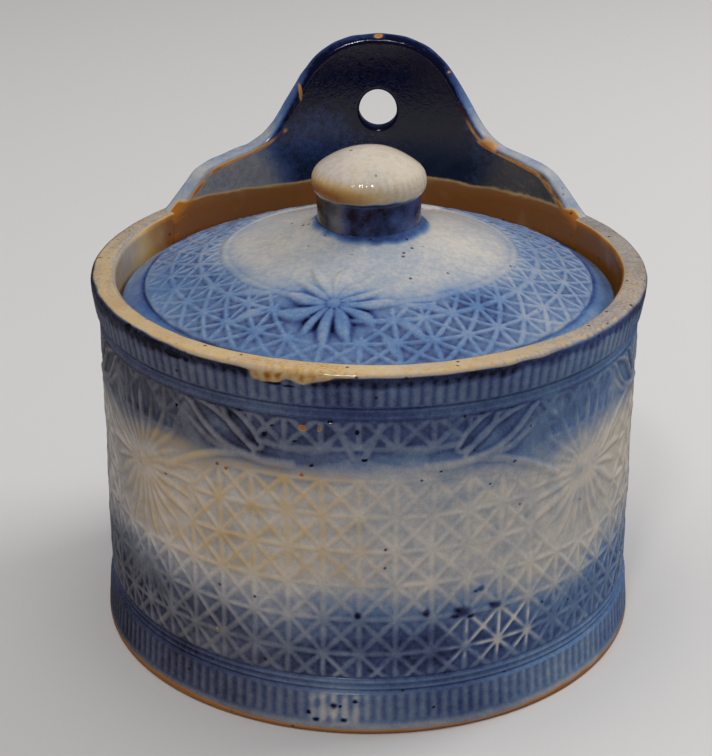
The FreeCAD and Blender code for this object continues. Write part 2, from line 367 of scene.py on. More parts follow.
def straight(start, end, count):
    """Points of a straight line in section, both ends among them."""
    return np.linspace(start, end, count)


def ring_turns(count):
    """Angles of a ring's mesh columns, starting at the back."""
    return np.arange(count) * 360 / count - 180


def turned(radius, height, turn):
    """Points (radius sin a, -radius cos a, height) at each angle a: a section carried round the axis."""
    angle = np.radians(turn)
    radius, height, angle = np.broadcast_arrays(radius, height, angle)
    return np.stack([radius * np.sin(angle), -radius * np.cos(angle), height], -1)


def with_back(rows):
    """Rows of a relief with its last and first row again, for the hidden back that closes it into a ring."""
    return np.concatenate([rows, rows[[-1, 0]]])


def grid_faces(rows, columns, closed):
    """Corner numbers of the squares of a grid whose columns close, and whose rows close if asked."""
    row = np.arange(rows if closed else rows - 1)[:, None]
    column = np.arange(columns)[None, :]
    after_row, after_column = (row + 1) % rows, (column + 1) % columns
    corners = [row * columns + column, row * columns + after_column,
               after_row * columns + after_column, after_row * columns + column]
    return np.stack(np.broadcast_arrays(*corners), -1).reshape(-1, 4)


def bake_places(points, closed, strips):
    """Flat map of a grid, cut into strips of columns laid one above another.

    Rows are spread by their real distance. Each strip keeps a small margin."""
    columns = points.shape[1]
    loop = np.concatenate([points, points[:1]]) if closed else points
    steps = np.linalg.norm(np.diff(loop, axis=0), axis=-1).mean(1) + 1e-3
    level = np.concatenate([[0], np.cumsum(steps)]) / steps.sum()
    row = np.arange(len(level) - 1)[:, None]
    column = np.arange(columns)[None, :]
    wide = columns // strips
    strip = column // wide
    corners = []
    for row_step, column_step in ((0, 0), (0, 1), (1, 1), (1, 0)):
        across = 0.006 + 0.988 * (column - strip * wide + column_step) / wide
        up = (strip + 0.03 + 0.94 * level[row + row_step]) / strips
        corners.append(np.stack(np.broadcast_arrays(across, up), -1))
    return np.stack(corners, 2).reshape(-1, 2)


def put_piece(name, points, body, nodes, material, layers, closed=True, strips=1, normals=None):
    """Mesh piece from a grid of points in millimetres, with its bake map and its glaze layers.

    Columns close round the crock. Rows close into a ring too, or end at a pole at both ends."""
    rows, columns = points.shape[:2]
    faces = grid_faces(rows, columns, closed)
    places = bake_places(points, closed, strips)
    mesh = bpy.data.meshes.new(name)
    mesh.vertices.add(rows * columns)
    mesh.vertices.foreach_set("co", (points.reshape(-1, 3) * MM).astype(np.float32).ravel())
    mesh.loops.add(faces.size)
    mesh.loops.foreach_set("vertex_index", faces.astype(np.int32).ravel())
    mesh.polygons.add(len(faces))
    mesh.polygons.foreach_set("loop_start", np.arange(0, faces.size, 4, dtype=np.int32))
    mesh.polygons.foreach_set("use_smooth", np.ones(len(faces), bool))
    mesh.update(calc_edges=True)
    flat_map = mesh.uv_layers.new(name="OFBake")
    flat_map.data.foreach_set("uv", places.astype(np.float32).ravel())
    for layer, values in layers.items():
        attribute = mesh.attributes.new(layer, "FLOAT", "POINT")
        values = np.broadcast_to(values, (rows, columns)).astype(np.float32)
        attribute.data.foreach_set("value", values.ravel())
    if normals is not None:
        attribute = mesh.attributes.new("custom_normal", "FLOAT_VECTOR", "POINT")
        attribute.data.foreach_set("vector", normals.astype(np.float32).ravel())
    if mesh.validate(verbose=False):
        raise ValueError(name + " had faulty faces")
    mesh.materials.append(material)
    piece = bpy.data.objects.new(name, mesh)
    bpy.context.scene.collection.objects.link(piece)
    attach(piece, body)
    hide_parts(*nodes)
    return piece


def add_node(tree, kind, links, **settings):
    """Adds a node, gives it its settings, and joins or sets its inputs."""
    node = tree.nodes.new(kind)
    for name, value in settings.items():
        setattr(node, name, value)
    for socket, source in links.items():
        if isinstance(source, bpy.types.NodeSocket):
            tree.links.new(source, node.inputs[socket])
        else:
            node.inputs[socket].default_value = source
    return node


def glazed_stoneware():
    """Cobalt-glazed stoneware: grey-cream clay, press-moulded, sprayed with cobalt and glazed.

    The runny glaze is thin and pale on ribs, dark where it pools, broken by iron blushes and burnt specks.
    Its layers also carry painted shade in the hollows and on the sides, and a painted warm reflection."""
    name = "cobalt glazed stoneware"
    if name in bpy.data.materials:
        return bpy.data.materials[name]
    colours = bpy.context.scene.glaze_colours
    material = bpy.data.materials.new(name)
    material.use_nodes = True
    tree = material.node_tree
    tree.nodes.clear()
    place = add_node(tree, "ShaderNodeTexCoord", {}).outputs["Object"]
    cobalt, iron, ash_and_side_shade, bare, speck = (
        add_node(tree, "ShaderNodeAttribute", {}, attribute_name=layer).outputs["Fac"]
        for layer in ("cobalt", "iron", "ash_and_side_shade", "bare", "speck"))

    # Clouds of the sprayed colour are about 13 mm across, the mottle of the glaze 1.7 mm, its grain 0.5 mm.
    cloud = add_node(tree, "ShaderNodeTexNoise", {
        "Vector": place, "Scale": 1 / 0.013, "Detail": 3.0, "Roughness": 0.55}).outputs["Fac"]
    mottle = add_node(tree, "ShaderNodeTexNoise", {
        "Vector": place, "Scale": 1 / 0.0017, "Detail": 3.0, "Roughness": 0.6}).outputs["Fac"]
    grain = add_node(tree, "ShaderNodeTexNoise", {
        "Vector": place, "Scale": 1 / 0.0005, "Detail": 1.0}).outputs["Fac"]
    clouded = add_node(tree, "ShaderNodeMath", {0: cloud, 1: 0.3, 2: cobalt}, operation="MULTIPLY_ADD")
    mottled = add_node(tree, "ShaderNodeMath", {0: mottle, 1: 0.3, 2: clouded.outputs[0]},
                       operation="MULTIPLY_ADD")
    amount = add_node(tree, "ShaderNodeMath", {0: grain, 1: 0.15, 2: mottled.outputs[0]},
                      operation="MULTIPLY_ADD")
    spread = add_node(tree, "ShaderNodeMapRange", {
        "Value": amount.outputs[0], "From Min": 0.375, "From Max": 1.375}, clamp=True)
    ramp = add_node(tree, "ShaderNodeValToRGB", {"Fac": spread.outputs["Result"]})
    stops = ramp.color_ramp.elements
    while len(stops) < 5:
        stops.new(0.5)
    for stop, (position, tint) in zip(stops, (
            (0.0, colours.cream), (0.22, colours.mist), (0.48, colours.blue),
            (0.74, colours.deep), (1.0, colours.navy))):
        stop.position = position
        stop.color = (*tint, 1.0)

    # Where ash settled in the kiln, and where painted shade greys the sides of the crock, the blue is greyed
    # at the same brightness.
    brightness = add_node(tree, "ShaderNodeRGBToBW", {"Color": ramp.outputs["Color"]}).outputs["Val"]
    grey = add_node(tree, "ShaderNodeCombineColor", {
        channel: add_node(tree, "ShaderNodeMath", {0: brightness, 1: gain}, operation="MULTIPLY").outputs[0]
        for channel, gain in (("Red", 1.1), ("Green", 0.99), ("Blue", 0.95))})
    greyed = add_node(tree, "ShaderNodeMix", {
        "Factor": ash_and_side_shade, MIX_A: ramp.outputs["Color"], MIX_B: grey.outputs["Color"]}, data_type="RGBA")

    # Iron shows as tan blushes with ragged edges, browner where the glaze is thick. On the wall the iron
    # layer also carries a painted warm reflection.
    ragged = add_node(tree, "ShaderNodeMath", {0: mottle, 1: 0.4, 2: iron}, operation="MULTIPLY_ADD")
    tan_cast = add_node(tree, "ShaderNodeMapRange", {
        "Value": ragged.outputs[0], "From Min": 0.4, "From Max": 1.0}, interpolation_type="SMOOTHSTEP")
    patchy = add_node(tree, "ShaderNodeMath", {0: cloud, 1: 0.5}, operation="MULTIPLY")
    rusted = add_node(tree, "ShaderNodeMath", {0: iron, 1: 0.8, 2: patchy.outputs[0]},
                      operation="MULTIPLY_ADD")
    thick = add_node(tree, "ShaderNodeMapRange", {
        "Value": rusted.outputs[0], "From Min": 0.72, "From Max": 1.1})
    rust = add_node(tree, "ShaderNodeMix", {
        "Factor": thick.outputs["Result"], MIX_A: (*colours.tan, 1.0), MIX_B: (*colours.brown, 1.0)},
        data_type="RGBA")
    blushed = add_node(tree, "ShaderNodeMix", {
        "Factor": tan_cast.outputs["Result"], MIX_A: greyed.outputs[MIX_OUT],
        MIX_B: rust.outputs[MIX_OUT]}, data_type="RGBA")
    clay = add_node(tree, "ShaderNodeMix", {
        "Factor": bare, MIX_A: blushed.outputs[MIX_OUT], MIX_B: (*colours.clay, 1.0)}, data_type="RGBA")

    # Burnt specks, one chance in each 2.4 mm of surface, as many as the piece's layer asks for.
    cells = add_node(tree, "ShaderNodeTexVoronoi", {"Vector": place, "Scale": 1 / 0.0024, "Randomness": 1.0})
    chance = add_node(tree, "ShaderNodeSeparateColor", {"Color": cells.outputs["Color"]})
    picked = add_node(tree, "ShaderNodeMath", {0: chance.outputs[0], 1: speck}, operation="LESS_THAN")
    dot = add_node(tree, "ShaderNodeMapRange", {
        "Value": cells.outputs["Distance"], "From Min": 0.12, "From Max": 0.26,
        "To Min": 0.85, "To Max": 0.0})
    specked = add_node(tree, "ShaderNodeMath", {0: picked.outputs[0], 1: dot.outputs["Result"]},
                       operation="MULTIPLY")
    colour = add_node(tree, "ShaderNodeMix", {
        "Factor": specked.outputs[0], MIX_A: clay.outputs[MIX_OUT], MIX_B: (*colours.speck, 1.0)},
        data_type="RGBA")

    # Glossy glaze, duller where mottled, dry on bare clay, with a faint orange-peel skin.
    gloss = add_node(tree, "ShaderNodeMapRange", {
        "Value": mottle, "From Min": 0.3, "From Max": 0.75, "To Min": 0.06, "To Max": 0.2})
    dry = add_node(tree, "ShaderNodeMath", {0: bare, 1: 0.5, 2: gloss.outputs["Result"]},
                   operation="MULTIPLY_ADD")
    skin = add_node(tree, "ShaderNodeMath", {0: grain, 1: 0.35, 2: mottle}, operation="MULTIPLY_ADD")
    bump = add_node(tree, "ShaderNodeBump", {
        "Strength": 0.35, "Distance": 0.0002, "Height": skin.outputs[0]})
    shader = add_node(tree, "ShaderNodeBsdfPrincipled", {
        "Base Color": colour.outputs[MIX_OUT], "Roughness": dry.outputs[0], "IOR": 1.52,
        "Normal": bump.outputs["Normal"]})
    add_node(tree, "ShaderNodeOutputMaterial", {"Surface": shader.outputs["BSDF"]})
    return material


def matt_paper():
    """Matt card: the pale, even, slightly warm sheet that the crock is set on.

    The glaze mirrors it dimly, as it does the room."""
    stage = bpy.context.scene.stage_settings
    material = bpy.data.materials.new("matt card")
    material.use_nodes = True
    tree = material.node_tree
    shader = tree.nodes["Principled BSDF"]
    shader.inputs["Roughness"].default_value = 0.9
    shader.inputs["Specular IOR Level"].default_value = 0.1
    glossy = add_node(tree, "ShaderNodeLightPath", {}).outputs["Is Glossy Ray"]
    dimmed = [part * stage.dim_reflection for part in stage.floor_colour]
    colour = add_node(tree, "ShaderNodeMix", {
        "Factor": glossy, MIX_A: (*stage.floor_colour, 1.0), MIX_B: (*dimmed, 1.0)}, data_type="RGBA")
    tree.links.new(colour.outputs[MIX_OUT], shader.inputs["Base Color"])
    return material


def reed(turn, count):
    """Round reeds: a parabola across each one, 1 on its crest and 0 in the groove."""
    share = turn * count / 360
    return 1 - (2 * (share - np.round(share))) ** 2


def wall_field(sizes):
    """Heights where the wall's relief starts and ends, between the two pairs of beads."""
    spare = 2 * BEAD_OFFSET + sizes.bead_pitch / MM
    return sizes.foot_band / MM + spare, (sizes.rim_height - sizes.collar_depth) / MM - spare


def bead_section(ground, start, end, first, pitch):
    """Section of two raised-cosine bead lines, and each row's share of a bead's rise."""
    level = np.linspace(start, end, BEAD_ROWS)
    rise = sum(0.5 + 0.5 * np.cos(math.pi * np.clip((level - middle) / BEAD_HALF_WIDTH, -1, 1))
               for middle in (first, first + pitch))
    return np.stack([ground + BEAD_RISE * rise, level], 1), rise[:, None]


def band_greying_with_side_shade(turn):
    """Grey on the reeded bands: an even share of ash, with painted shade greying the left of the front and
    painted light leaving its right less grey.
    """
    return 0.28 + 0.27 * patch(turn, -100, -14, 24) - 0.15 * patch(turn, 32, 95, 22)


def mouth_iron(turn):
    """Iron on the mouth's inside and the foot of the plate: even, and less at the left."""
    return 1.1 - 0.6 * patch(turn, -112, -50, 14)


def wall_relief(turn, height, sizes):
    """Height of the pressed pattern above the ground of the wall.

    A lattice, masked round daisies and under festoons. The front and back panels and the narrower side
    panels mirror about their middles, so the festoon is drawn once, against the angle from a middle.
    The second result is 1 on the daisies and 0 away from them."""
    ground = sizes.ground_radius / MM
    step = math.radians(1) * ground
    row_height = sizes.lattice_row / MM
    turn = turn + 0.2 * waver(3, turn, height, 9, 30)
    level = height + 0.25 * waver(4, turn, height, 9, 30)
    folded = np.abs((turn + 180) % 360 - 180)
    side = np.minimum(folded, 180 - folded)
    panel = np.where(side < FLOWER_TURN, side, (90 - side) * FLOWER_TURN / (90 - FLOWER_TURN))

    lattice_level = np.interp(level, [0, 70.0, 78.4, 87.4, 100], [0, 70.0, 79.8, 89.6, 102.2])
    ribs = lattice(turn * sizes.lattice_columns / 360, (lattice_level - LATTICE_FOOT) / row_height,
                   360 / sizes.lattice_columns * step, row_height, 0.08, 0.95)
    ribs = ribs * (0.8 + 0.22 * waver(5, turn, height, 14, 18) + 0.16 * waver(6, turn, height, 70, 5))
    # The press took less well to the right of the middle.
    ribs = ribs * (1 - 0.3 * patch(turn, 12, 46, 9) * smooth(36, 46, level) * smooth(74, 68, level))

    across, up = (side - FLOWER_TURN) * step, level - FLOWER_HEIGHT
    flower = daisy(across, up, FLOWER_PETALS, PETAL_LENGTH, PETAL_HALF_WIDTH)
    sprays = np.zeros(turn.shape)
    for lean in np.linspace(-4, 4, 9):
        stem = ((0.5 * lean, -27), (2.4 * lean, -37), (5.2 * lean, -47 + 0.5 * lean ** 2))
        sprays = np.maximum(sprays, leaf(stem, 1.25, across, up))
    dents = np.zeros(turn.shape)
    for aside, above, size in ((18.0, 3.5, 2.6), (20.5, -7.5, 2.4), (18.0, -17.5, 2.2)):
        dents = np.maximum(dents, ridge(np.hypot(np.abs(across) - aside, 1.4 * (up - above)), 0.3, size))

    x = panel * step

    def drawn(*places):
        """Line of the festoon, from angles and heights to millimetres."""
        return [(angle * step, place) for angle, place in places]

    underside = np.interp(panel, [0, 21, 26, 31, 36, 40], [70.6, 70.4, 69.6, 67.4, 63.8, 62.0])
    topside = np.interp(panel, [0, 18, 21, 26, 34, 38, 41], [78.2, 77.8, 80.5, 87.5, 88.5, 83.0, 75.0])
    plain = smooth(-0.5, 0.5, level - underside) * smooth(-0.5, 0.5, topside - level)
    near_flower = 1 - smooth(19.0, 23.5, np.hypot(across, up))
    ribs = ribs * (1 - plain) * (1 - near_flower) * (1 - 0.4 * smooth(30, 36, panel) * smooth(70, 74, level))

    swag = path_distance(drawn((1.0, 78.6), (4, 76.4), (9, 75.0), (14, 75.0), (18.5, 76.6), (21, 79.5),
                               (24, 83.4), (26.6, 86.6)), x, level)[0]
    bar = path_distance(drawn((5.6, 79.6), (9, 78.3), (13.5, 77.8), (19.5, 78.6)), x, level)[0]
    ribbon = path_distance(drawn((13, 73.3), (18.5, 73.3), (23.4, 74.2), (29, 73.0), (34.4, 70.2),
                                 (38.6, 67.0), (42.5, 63.6)), x, level)[0]
    stalk = path_distance(drawn((0.9, 76.0), (2.6, 80.0), (4.9, 87.0)), x, level)[0]
    relief = np.maximum(ribs, 0.42 * plain)
    relief = relief - 0.9 * ridge(swag, 0.7, 2.1) * plain
    for path, half_width in (
            (drawn((19.8, 77.4), (23.5, 81.4), (27.2, 86.6)), 2.1),
            (drawn((21.6, 75.2), (27.5, 79.6), (35.6, 86.2)), 2.9)):
        hollow = scoop(path, half_width, x, level)
        relief = np.where(hollow > 0, np.maximum(relief, 1.4 * hollow), relief + hollow)
    relief = np.maximum(relief, 1.4 * leaf(drawn((23.5, 73.6), (31, 76.0), (38.2, 82.2)), 1.7, x, level))
    relief = np.maximum(relief, 0.8 * ridge(bar, 0.3, 1.1))
    relief = np.maximum(relief, 1.2 * ridge(ribbon, 0.4, 1.6))
    relief = np.maximum(relief, 0.8 * ridge(stalk, 0.3, 1.1))
    relief = relief * (sizes.rib_height / MM)
    petals = sizes.petal_height / MM * (1 - 0.25 * patch(turn, 30, 80, 10))
    relief = np.maximum(relief, petals * flower * smooth(-4.0, 2.0, underside + 24 - level))
    relief = np.maximum(relief, 0.7 * petals * sprays) - 0.2 * dents
    ends = smooth(PATTERN_FOOT, PATTERN_FOOT + 1, height) * smooth(PATTERN_TOP, PATTERN_TOP - 1, height)
    return soften(relief, 1.0, 1.0) * ends, near_flower


def wall_marks(turn, height, radius):
    """Kiln and wear marks of the front: cobalt dabs, rust chips and burnt pits, each a soft spot."""
    dabs = spots(turn, height, (
        (-0.3, 32.2, 0.9, 1.0), (13.3, 32.2, 0.9, 1.1), (20.9, 31.2, 2.4, 1.6), (19.4, 30.2, 1.4, 0.8),
        (22.5, 29.5, 1.2, 0.7), (28.0, 31.2, 1.7, 1.1), (24.6, 36.9, 1.2, 0.8), (23.7, 36.3, 0.7, 0.5)),
        radius)
    rust = spots(turn, height, (
        (-11.0, 83.6, 1.0, 0.8), (-7.6, 83.7, 0.5, 0.5), (-27.2, 69.0, 0.5, 0.4), (-30.5, 21.6, 0.6, 0.4),
        (-11.2, 70.9, 0.5, 0.4), (142.0, 55.0, 1.2, 0.9), (-151.0, 34.0, 0.9, 0.8)), radius)
    pits = spots(turn, height, (
        (-18.7, 80.7, 0.55, 0.6), (-5.6, 85.8, 0.6, 0.3), (-6.0, 87.0, 0.5, 0.3), (1.0, 75.9, 0.9, 0.35),
        (-12.6, 80.0, 0.7, 0.25), (-17.0, 83.4, 0.35, 0.35), (-39.3, 82.2, 0.5, 0.3), (-9.2, 73.6, 0.35, 0.3),
        (-0.4, 83.3, 0.6, 0.7), (12.0, 69.9, 0.4, 0.25), (26.1, 66.2, 0.4, 0.3), (31.2, 71.2, 0.3, 0.25),
        (-29.3, 69.7, 0.35, 0.3), (15.8, 71.8, 0.4, 0.3), (104.0, 72.0, 0.7, 0.5), (171.0, 80.0, 0.8, 0.6)),
        radius)
    return dabs, rust, pits


def wall_glaze(turn, height, around, level, relief, on_flower, marks):
    """Layers of the wall's glaze, worked out from the pressed pattern and the kiln marks.

    Cobalt is sprayed round the top and the foot. The runny glaze then carries it off the ribs and into
    the hollows. Painted shade adds more cobalt in the deep and sunk hollows and along the feet of the ribs,
    and greys the left of the front, while painted light leaves its right paler. Around and level are places
    in the pattern, turn and height are places on the crock."""
    dabs, rust, pits = marks
    pool = pooled(relief, 6, 6, 0.3) * (1 - 0.5 * on_flower * smooth(76, 68, level))
    hollow = pooled(relief, 14, 14, 0.8)
    outline = np.clip(pooled(relief, 2, 2, 0.2), 0, 1)
    sunk_shade = smooth(-0.05, -0.5, relief)
    on_rib = smooth(0.0, 0.8, -pool)
    drift = waver(31, turn, height, 7, 40)
    fine = waver(32, turn, height, 60, 6)
    uneven = 1.3 * drift + 0.8 * waver(33, turn, height, 16, 25)
    left, right = patch(around, -95, -14, 24), patch(around, 32, 95, 22)
    far = smooth(52, 68, np.abs(around)) * smooth(125, 105, np.abs(around))
    sprayed = np.maximum(smooth(66, 80, level + uneven + 3 * (left + right)),
                         smooth(41, 23, level + 1.3 * uneven))

    cobalt = 0.11 + 0.52 * sprayed + (0.035 + 0.015 * sprayed + 0.025 * left) * pool + 0.05 * fine
    # Painted shade: more cobalt in the deep hollows, in the sunk parts and along the feet of the ribs.
    cobalt = cobalt + (0.02 + 0.06 * sprayed) * hollow + 0.25 * sunk_shade + (0.08 + 0.16 * sprayed) * outline
    # Stretches that took more or less of the spray: sides, upper lattice, edges of the bands, middle. The
    # right of the front is painted lighter, with less cobalt: painted light.
    cobalt = cobalt - 0.13 * far * smooth(42, 56, level) - (0.06 + 0.07 * sprayed) * right
    cobalt = cobalt + 0.1 * far * on_flower * pool * sprayed
    cobalt = cobalt - 0.04 * left * smooth(45, 32, level)
    cobalt = cobalt - 0.03 * smooth(64, 72, level) * patch(around, -30, 60, 20)
    cobalt = cobalt + 0.06 * smooth(79, 86, level) + 0.06 * patch(around, -75, -48, 12)
    cobalt = cobalt + 0.06 * smooth(30, 20, level) * patch(around, -16, 26, 14)
    cobalt = cobalt + 0.05 * patch(around, -12, 18, 12) * (1 - sprayed) + 0.55 * dabs + 1.2 * pits
    # Two stretches near the foot where the ribs are rubbed pale.
    worn = patch(around, 18, 38, 3) * smooth(15, 18, level) * smooth(31, 28, level)
    worn = worn + 0.4 * patch(around, -8, 12, 3) * smooth(23, 19, level)
    cobalt = cobalt - 0.5 * worn * on_rib * smooth(-0.6, 0.5, fine + 0.5) * (1 - dabs)
    # A tan cast lies on the left of the pale middle, strongest on the ribs: painted warm reflection.
    tan_cast = patch(around, -64, 6, 20) * smooth(33, 43, level + uneven) * smooth(77, 71, level + uneven)
    cobalt = cobalt - 0.08 * tan_cast
    iron = 0.08 + tan_cast * (0.36 - 0.16 * pool) + 0.05 * fine - dabs + 1.2 * rust
    # Grey: ash all round and on the sprayed ribs, with painted shade greying the left of the front more and
    # its right less.
    ash_and_side_shade = 0.3 + 0.1 * sprayed + 0.4 * left - 0.2 * right
    ash_and_side_shade = ash_and_side_shade + 0.08 * on_rib * sprayed - 0.1 * smooth(0.1, 0.6, pool)
    return {"cobalt": cobalt, "ash_and_side_shade": ash_and_side_shade, "iron": iron, "bare": 0.85 * rust, "speck": 0.012 + 0.02 * sprayed}


class SALTCROCK_OT_wall(Operator):
    """Wall between the bands: the pressed lattice, daisies and festoons, cut into rings"""

    bl_idname = "salt_crock.wall"
    bl_label = "Relief wall"

    def execute(self, context):
        sizes = context.scene.crock_sizes
        ground = sizes.ground_radius / MM
        columns = sizes.reeds * REED_COLUMNS
        start, end = wall_field(sizes)
        turn, height = np.meshgrid(ring_turns(columns), np.linspace(start, end, WALL_ROWS + 1))
        level = PATTERN_FOOT + (height - start) / (end - start) * (PATTERN_TOP - PATTERN_FOOT)
        around = turn - PATTERN_TURN
        relief, on_flower = wall_relief(around, level, sizes)
        dabs, rust, pits = wall_marks(around, level, ground)
        jagged = 0.3 * waver(22, turn, height, 160, 2)
        rust, pits = (smooth(0.3, 0.8, marks + jagged * (marks > 0.01)) for marks in (rust, pits))
        bow = 0.12 * waver(21, turn, height, 3, 120)
        points = turned(ground + bow + relief - 0.25 * pits - 0.2 * rust, height, turn)
        normals = np.cross(np.roll(points, -1, 1) - np.roll(points, 1, 1), np.gradient(points, axis=0))
        normals /= np.linalg.norm(normals, axis=-1, keepdims=True)
        layers = wall_glaze(turn, height, around, level, relief, on_flower, (dabs, rust, pits))
        material = glazed_stoneware()
        step = WALL_ROWS // WALL_BANDS
        for band in range(WALL_BANDS):
            rows = slice(band * step, (band + 1) * step + 1)
            ends = height[rows][[-1, 0]]
            back = turned(np.full_like(ends, HIDDEN_RADIUS), ends, turn[:2])
            ring = np.concatenate([points[rows], back])
            inward = turned(-1.0, np.zeros_like(ends), turn[:2])
            put_piece("wall_band_%d" % (band + 1), ring, "crock", ["crock_wall"], material,
                      {name: with_back(layer[rows]) for name, layer in layers.items()},
                      strips=4, normals=np.concatenate([normals[rows], inward]))
        return {"FINISHED"}


class SALTCROCK_OT_collar(Operator):
    """Collar: bead lines, upright reeds, the worn lip and the mouth's inside down to the ledge"""

    bl_idname = "salt_crock.collar"
    bl_label = "Collar and lip"

    def execute(self, context):
        sizes = context.scene.crock_sizes
        ground, outer = sizes.ground_radius / MM, sizes.collar_radius / MM
        mouth, rim = sizes.mouth_radius / MM, sizes.rim_height / MM
        reed_foot, reed_top = rim - sizes.collar_depth / MM, rim - sizes.lip_depth / MM
        groove, base = sizes.reed_depth / MM, LEDGE_BOX[0].z / MM
        pitch, field_end = sizes.bead_pitch / MM, wall_field(sizes)[1]
        turn = ring_turns(sizes.reeds * REED_COLUMNS)[None, :]
        beads, bead_rise = bead_section(
            ground, field_end, reed_foot - 0.2, reed_foot - BEAD_OFFSET - pitch, pitch)
        section = np.concatenate([
            beads,
            [(ground + 0.4, reed_foot - 0.2), (ground + 0.7, reed_foot), (outer - 1.1, reed_foot + 0.3)],
            straight((outer - 0.9, reed_foot + 0.8), (outer - 0.1, reed_top), 14),
            straight((outer, reed_top + 0.5), (outer, rim - LIP_ROUND - 0.2), 5),
            round_arc(outer - LIP_ROUND, rim - LIP_ROUND, LIP_ROUND, 5, 90, 10),
            straight((outer - 2.2, rim + 0.02), (mouth + 2.2, rim + 0.02), 6),
            round_arc(mouth + LIP_ROUND, rim - LIP_ROUND, LIP_ROUND, 92, 180, 8),
            straight((mouth, rim - 2.6), (mouth, base), 6),
            [(HIDDEN_RADIUS, base), (HIDDEN_RADIUS, field_end)]])
        across, level = section[:, :1], section[:, 1:]
        outside = across > (outer + mouth) / 2
        reeded = smooth(reed_foot, reed_foot + 0.8, level) * smooth(reed_top + 2.4, reed_top + 1.0, level)
        reeded = reeded * outside * (across > outer - 1.0)
        crests = reed(turn, sizes.reeds) ** 1.5
        on_lip = smooth(reed_top, reed_top + 1.5, level)
        drift = waver(41, turn, level, 9, 40)
        nicks = waver(42, turn, across + level, 60, 6)
        chips = outside * spots(turn, level, (
            (-37.4, rim - 2.7, 2.6, 0.6), (-34.4, rim - 2.9, 0.7, 0.5), (-51.6, rim - 1.0, 1.2, 0.6),
            (-15.6, rim - 4.3, 2.2, 0.3), (-12.6, rim - 4.5, 1.6, 0.25),
            (153.0, rim - 2.0, 2.2, 0.9), (-128.0, rim - 1.4, 1.5, 0.8)), outer)
        ragged = on_lip * (0.03 * nicks + 0.12 * drift)
        radius = across - groove * reeded * (1 - crests * (0.85 + 0.15 * waver(43, turn, level, 30, 10)))
        radius = radius + np.where(outside, ragged, -ragged) - 0.35 * chips
        points = turned(radius, level + on_lip * (0.14 * drift + 0.03 * nicks), turn)

        # Cobalt lies between the reeds and the beads, and thickest up the side of the lip.
        bead_pool = np.concatenate([0.5 - bead_rise, np.zeros((len(section) - len(bead_rise), 1))])
        cobalt = 0.66 + 0.2 * reeded * (0.5 - crests) + 0.05 * bead_pool + 0.08 * drift
        cobalt = cobalt + 0.3 * smooth(reed_top - 0.5, reed_top + 1.4, level + 0.5 * nicks)
        # Painted light: less cobalt on the right of the front.
        cobalt = cobalt - 0.07 * patch(turn, 28, 95, 18)

        # The lip's top is rubbed pale, the mouth is tan, and pale glaze has spilt down the reeds in front.
        grit = waver(45, turn, across + level, 420, 0.9, 40)
        frayed = waver(44, turn, 0.0, 70, 3)
        fall = np.interp(turn, [-19, -4], [3.6, 1.2])
        spilt = smooth(-1.5, 1.5, level - rim + fall + 0.7 * frayed) * outside
        spilt = spilt * patch(turn, -19, -3, 2.5)
        blue_above = 0.9 * patch(turn, -115, -38, 12) * smooth(outer - 1.5, outer - 0.3, across)
        top = smooth(rim - 1.5, rim - 0.3, level + 0.12 * drift + 0.15 * nicks - blue_above)
        inside = 1 - smooth(mouth + 0.3, mouth + 1.4, across)
        pale = np.clip(top + inside + spilt, 0, 1)
        front = patch(turn, -45, 30, 25)
        cobalt = cobalt * (1 - pale) + pale * (0.36 - 0.26 * front - 0.06 * grit) + 0.6 * chips
        warm = 0.44 + 0.18 * np.cos(np.radians(turn + 16)) - 0.1 * patch(turn, 40, 120, 25)
        warm = warm + 0.05 * drift + 0.1 * grit
        seam = 4 * pale * (1 - pale)
        iron = np.maximum(pale * (1 - inside) * warm, inside * mouth_iron(turn))
        iron = np.maximum(iron, 0.6 * seam * patch(turn, -50, 45, 20))
        iron = iron + spilt * smooth(rim - 0.6, rim - 2.4, level) * (0.1 + 0.45 * (1 - crests)) - 0.6 * chips
        # The bands' grey holds painted shade at the left of the front.
        ash_and_side_shade = band_greying_with_side_shade(turn) + 0.15 * reeded * crests + 0.8 * pale * (1 - inside) * (1 - front)
        layers = {"cobalt": cobalt, "ash_and_side_shade": ash_and_side_shade, "iron": iron, "bare": 0.0,
                  "speck": 0.02 + 0.14 * pale * (1 - inside) + 0.35 * chips}
        put_piece("crock_collar", points, "crock", ["crock_wall"], glazed_stoneware(), layers,
                  strips=4)
        return {"FINISHED"}


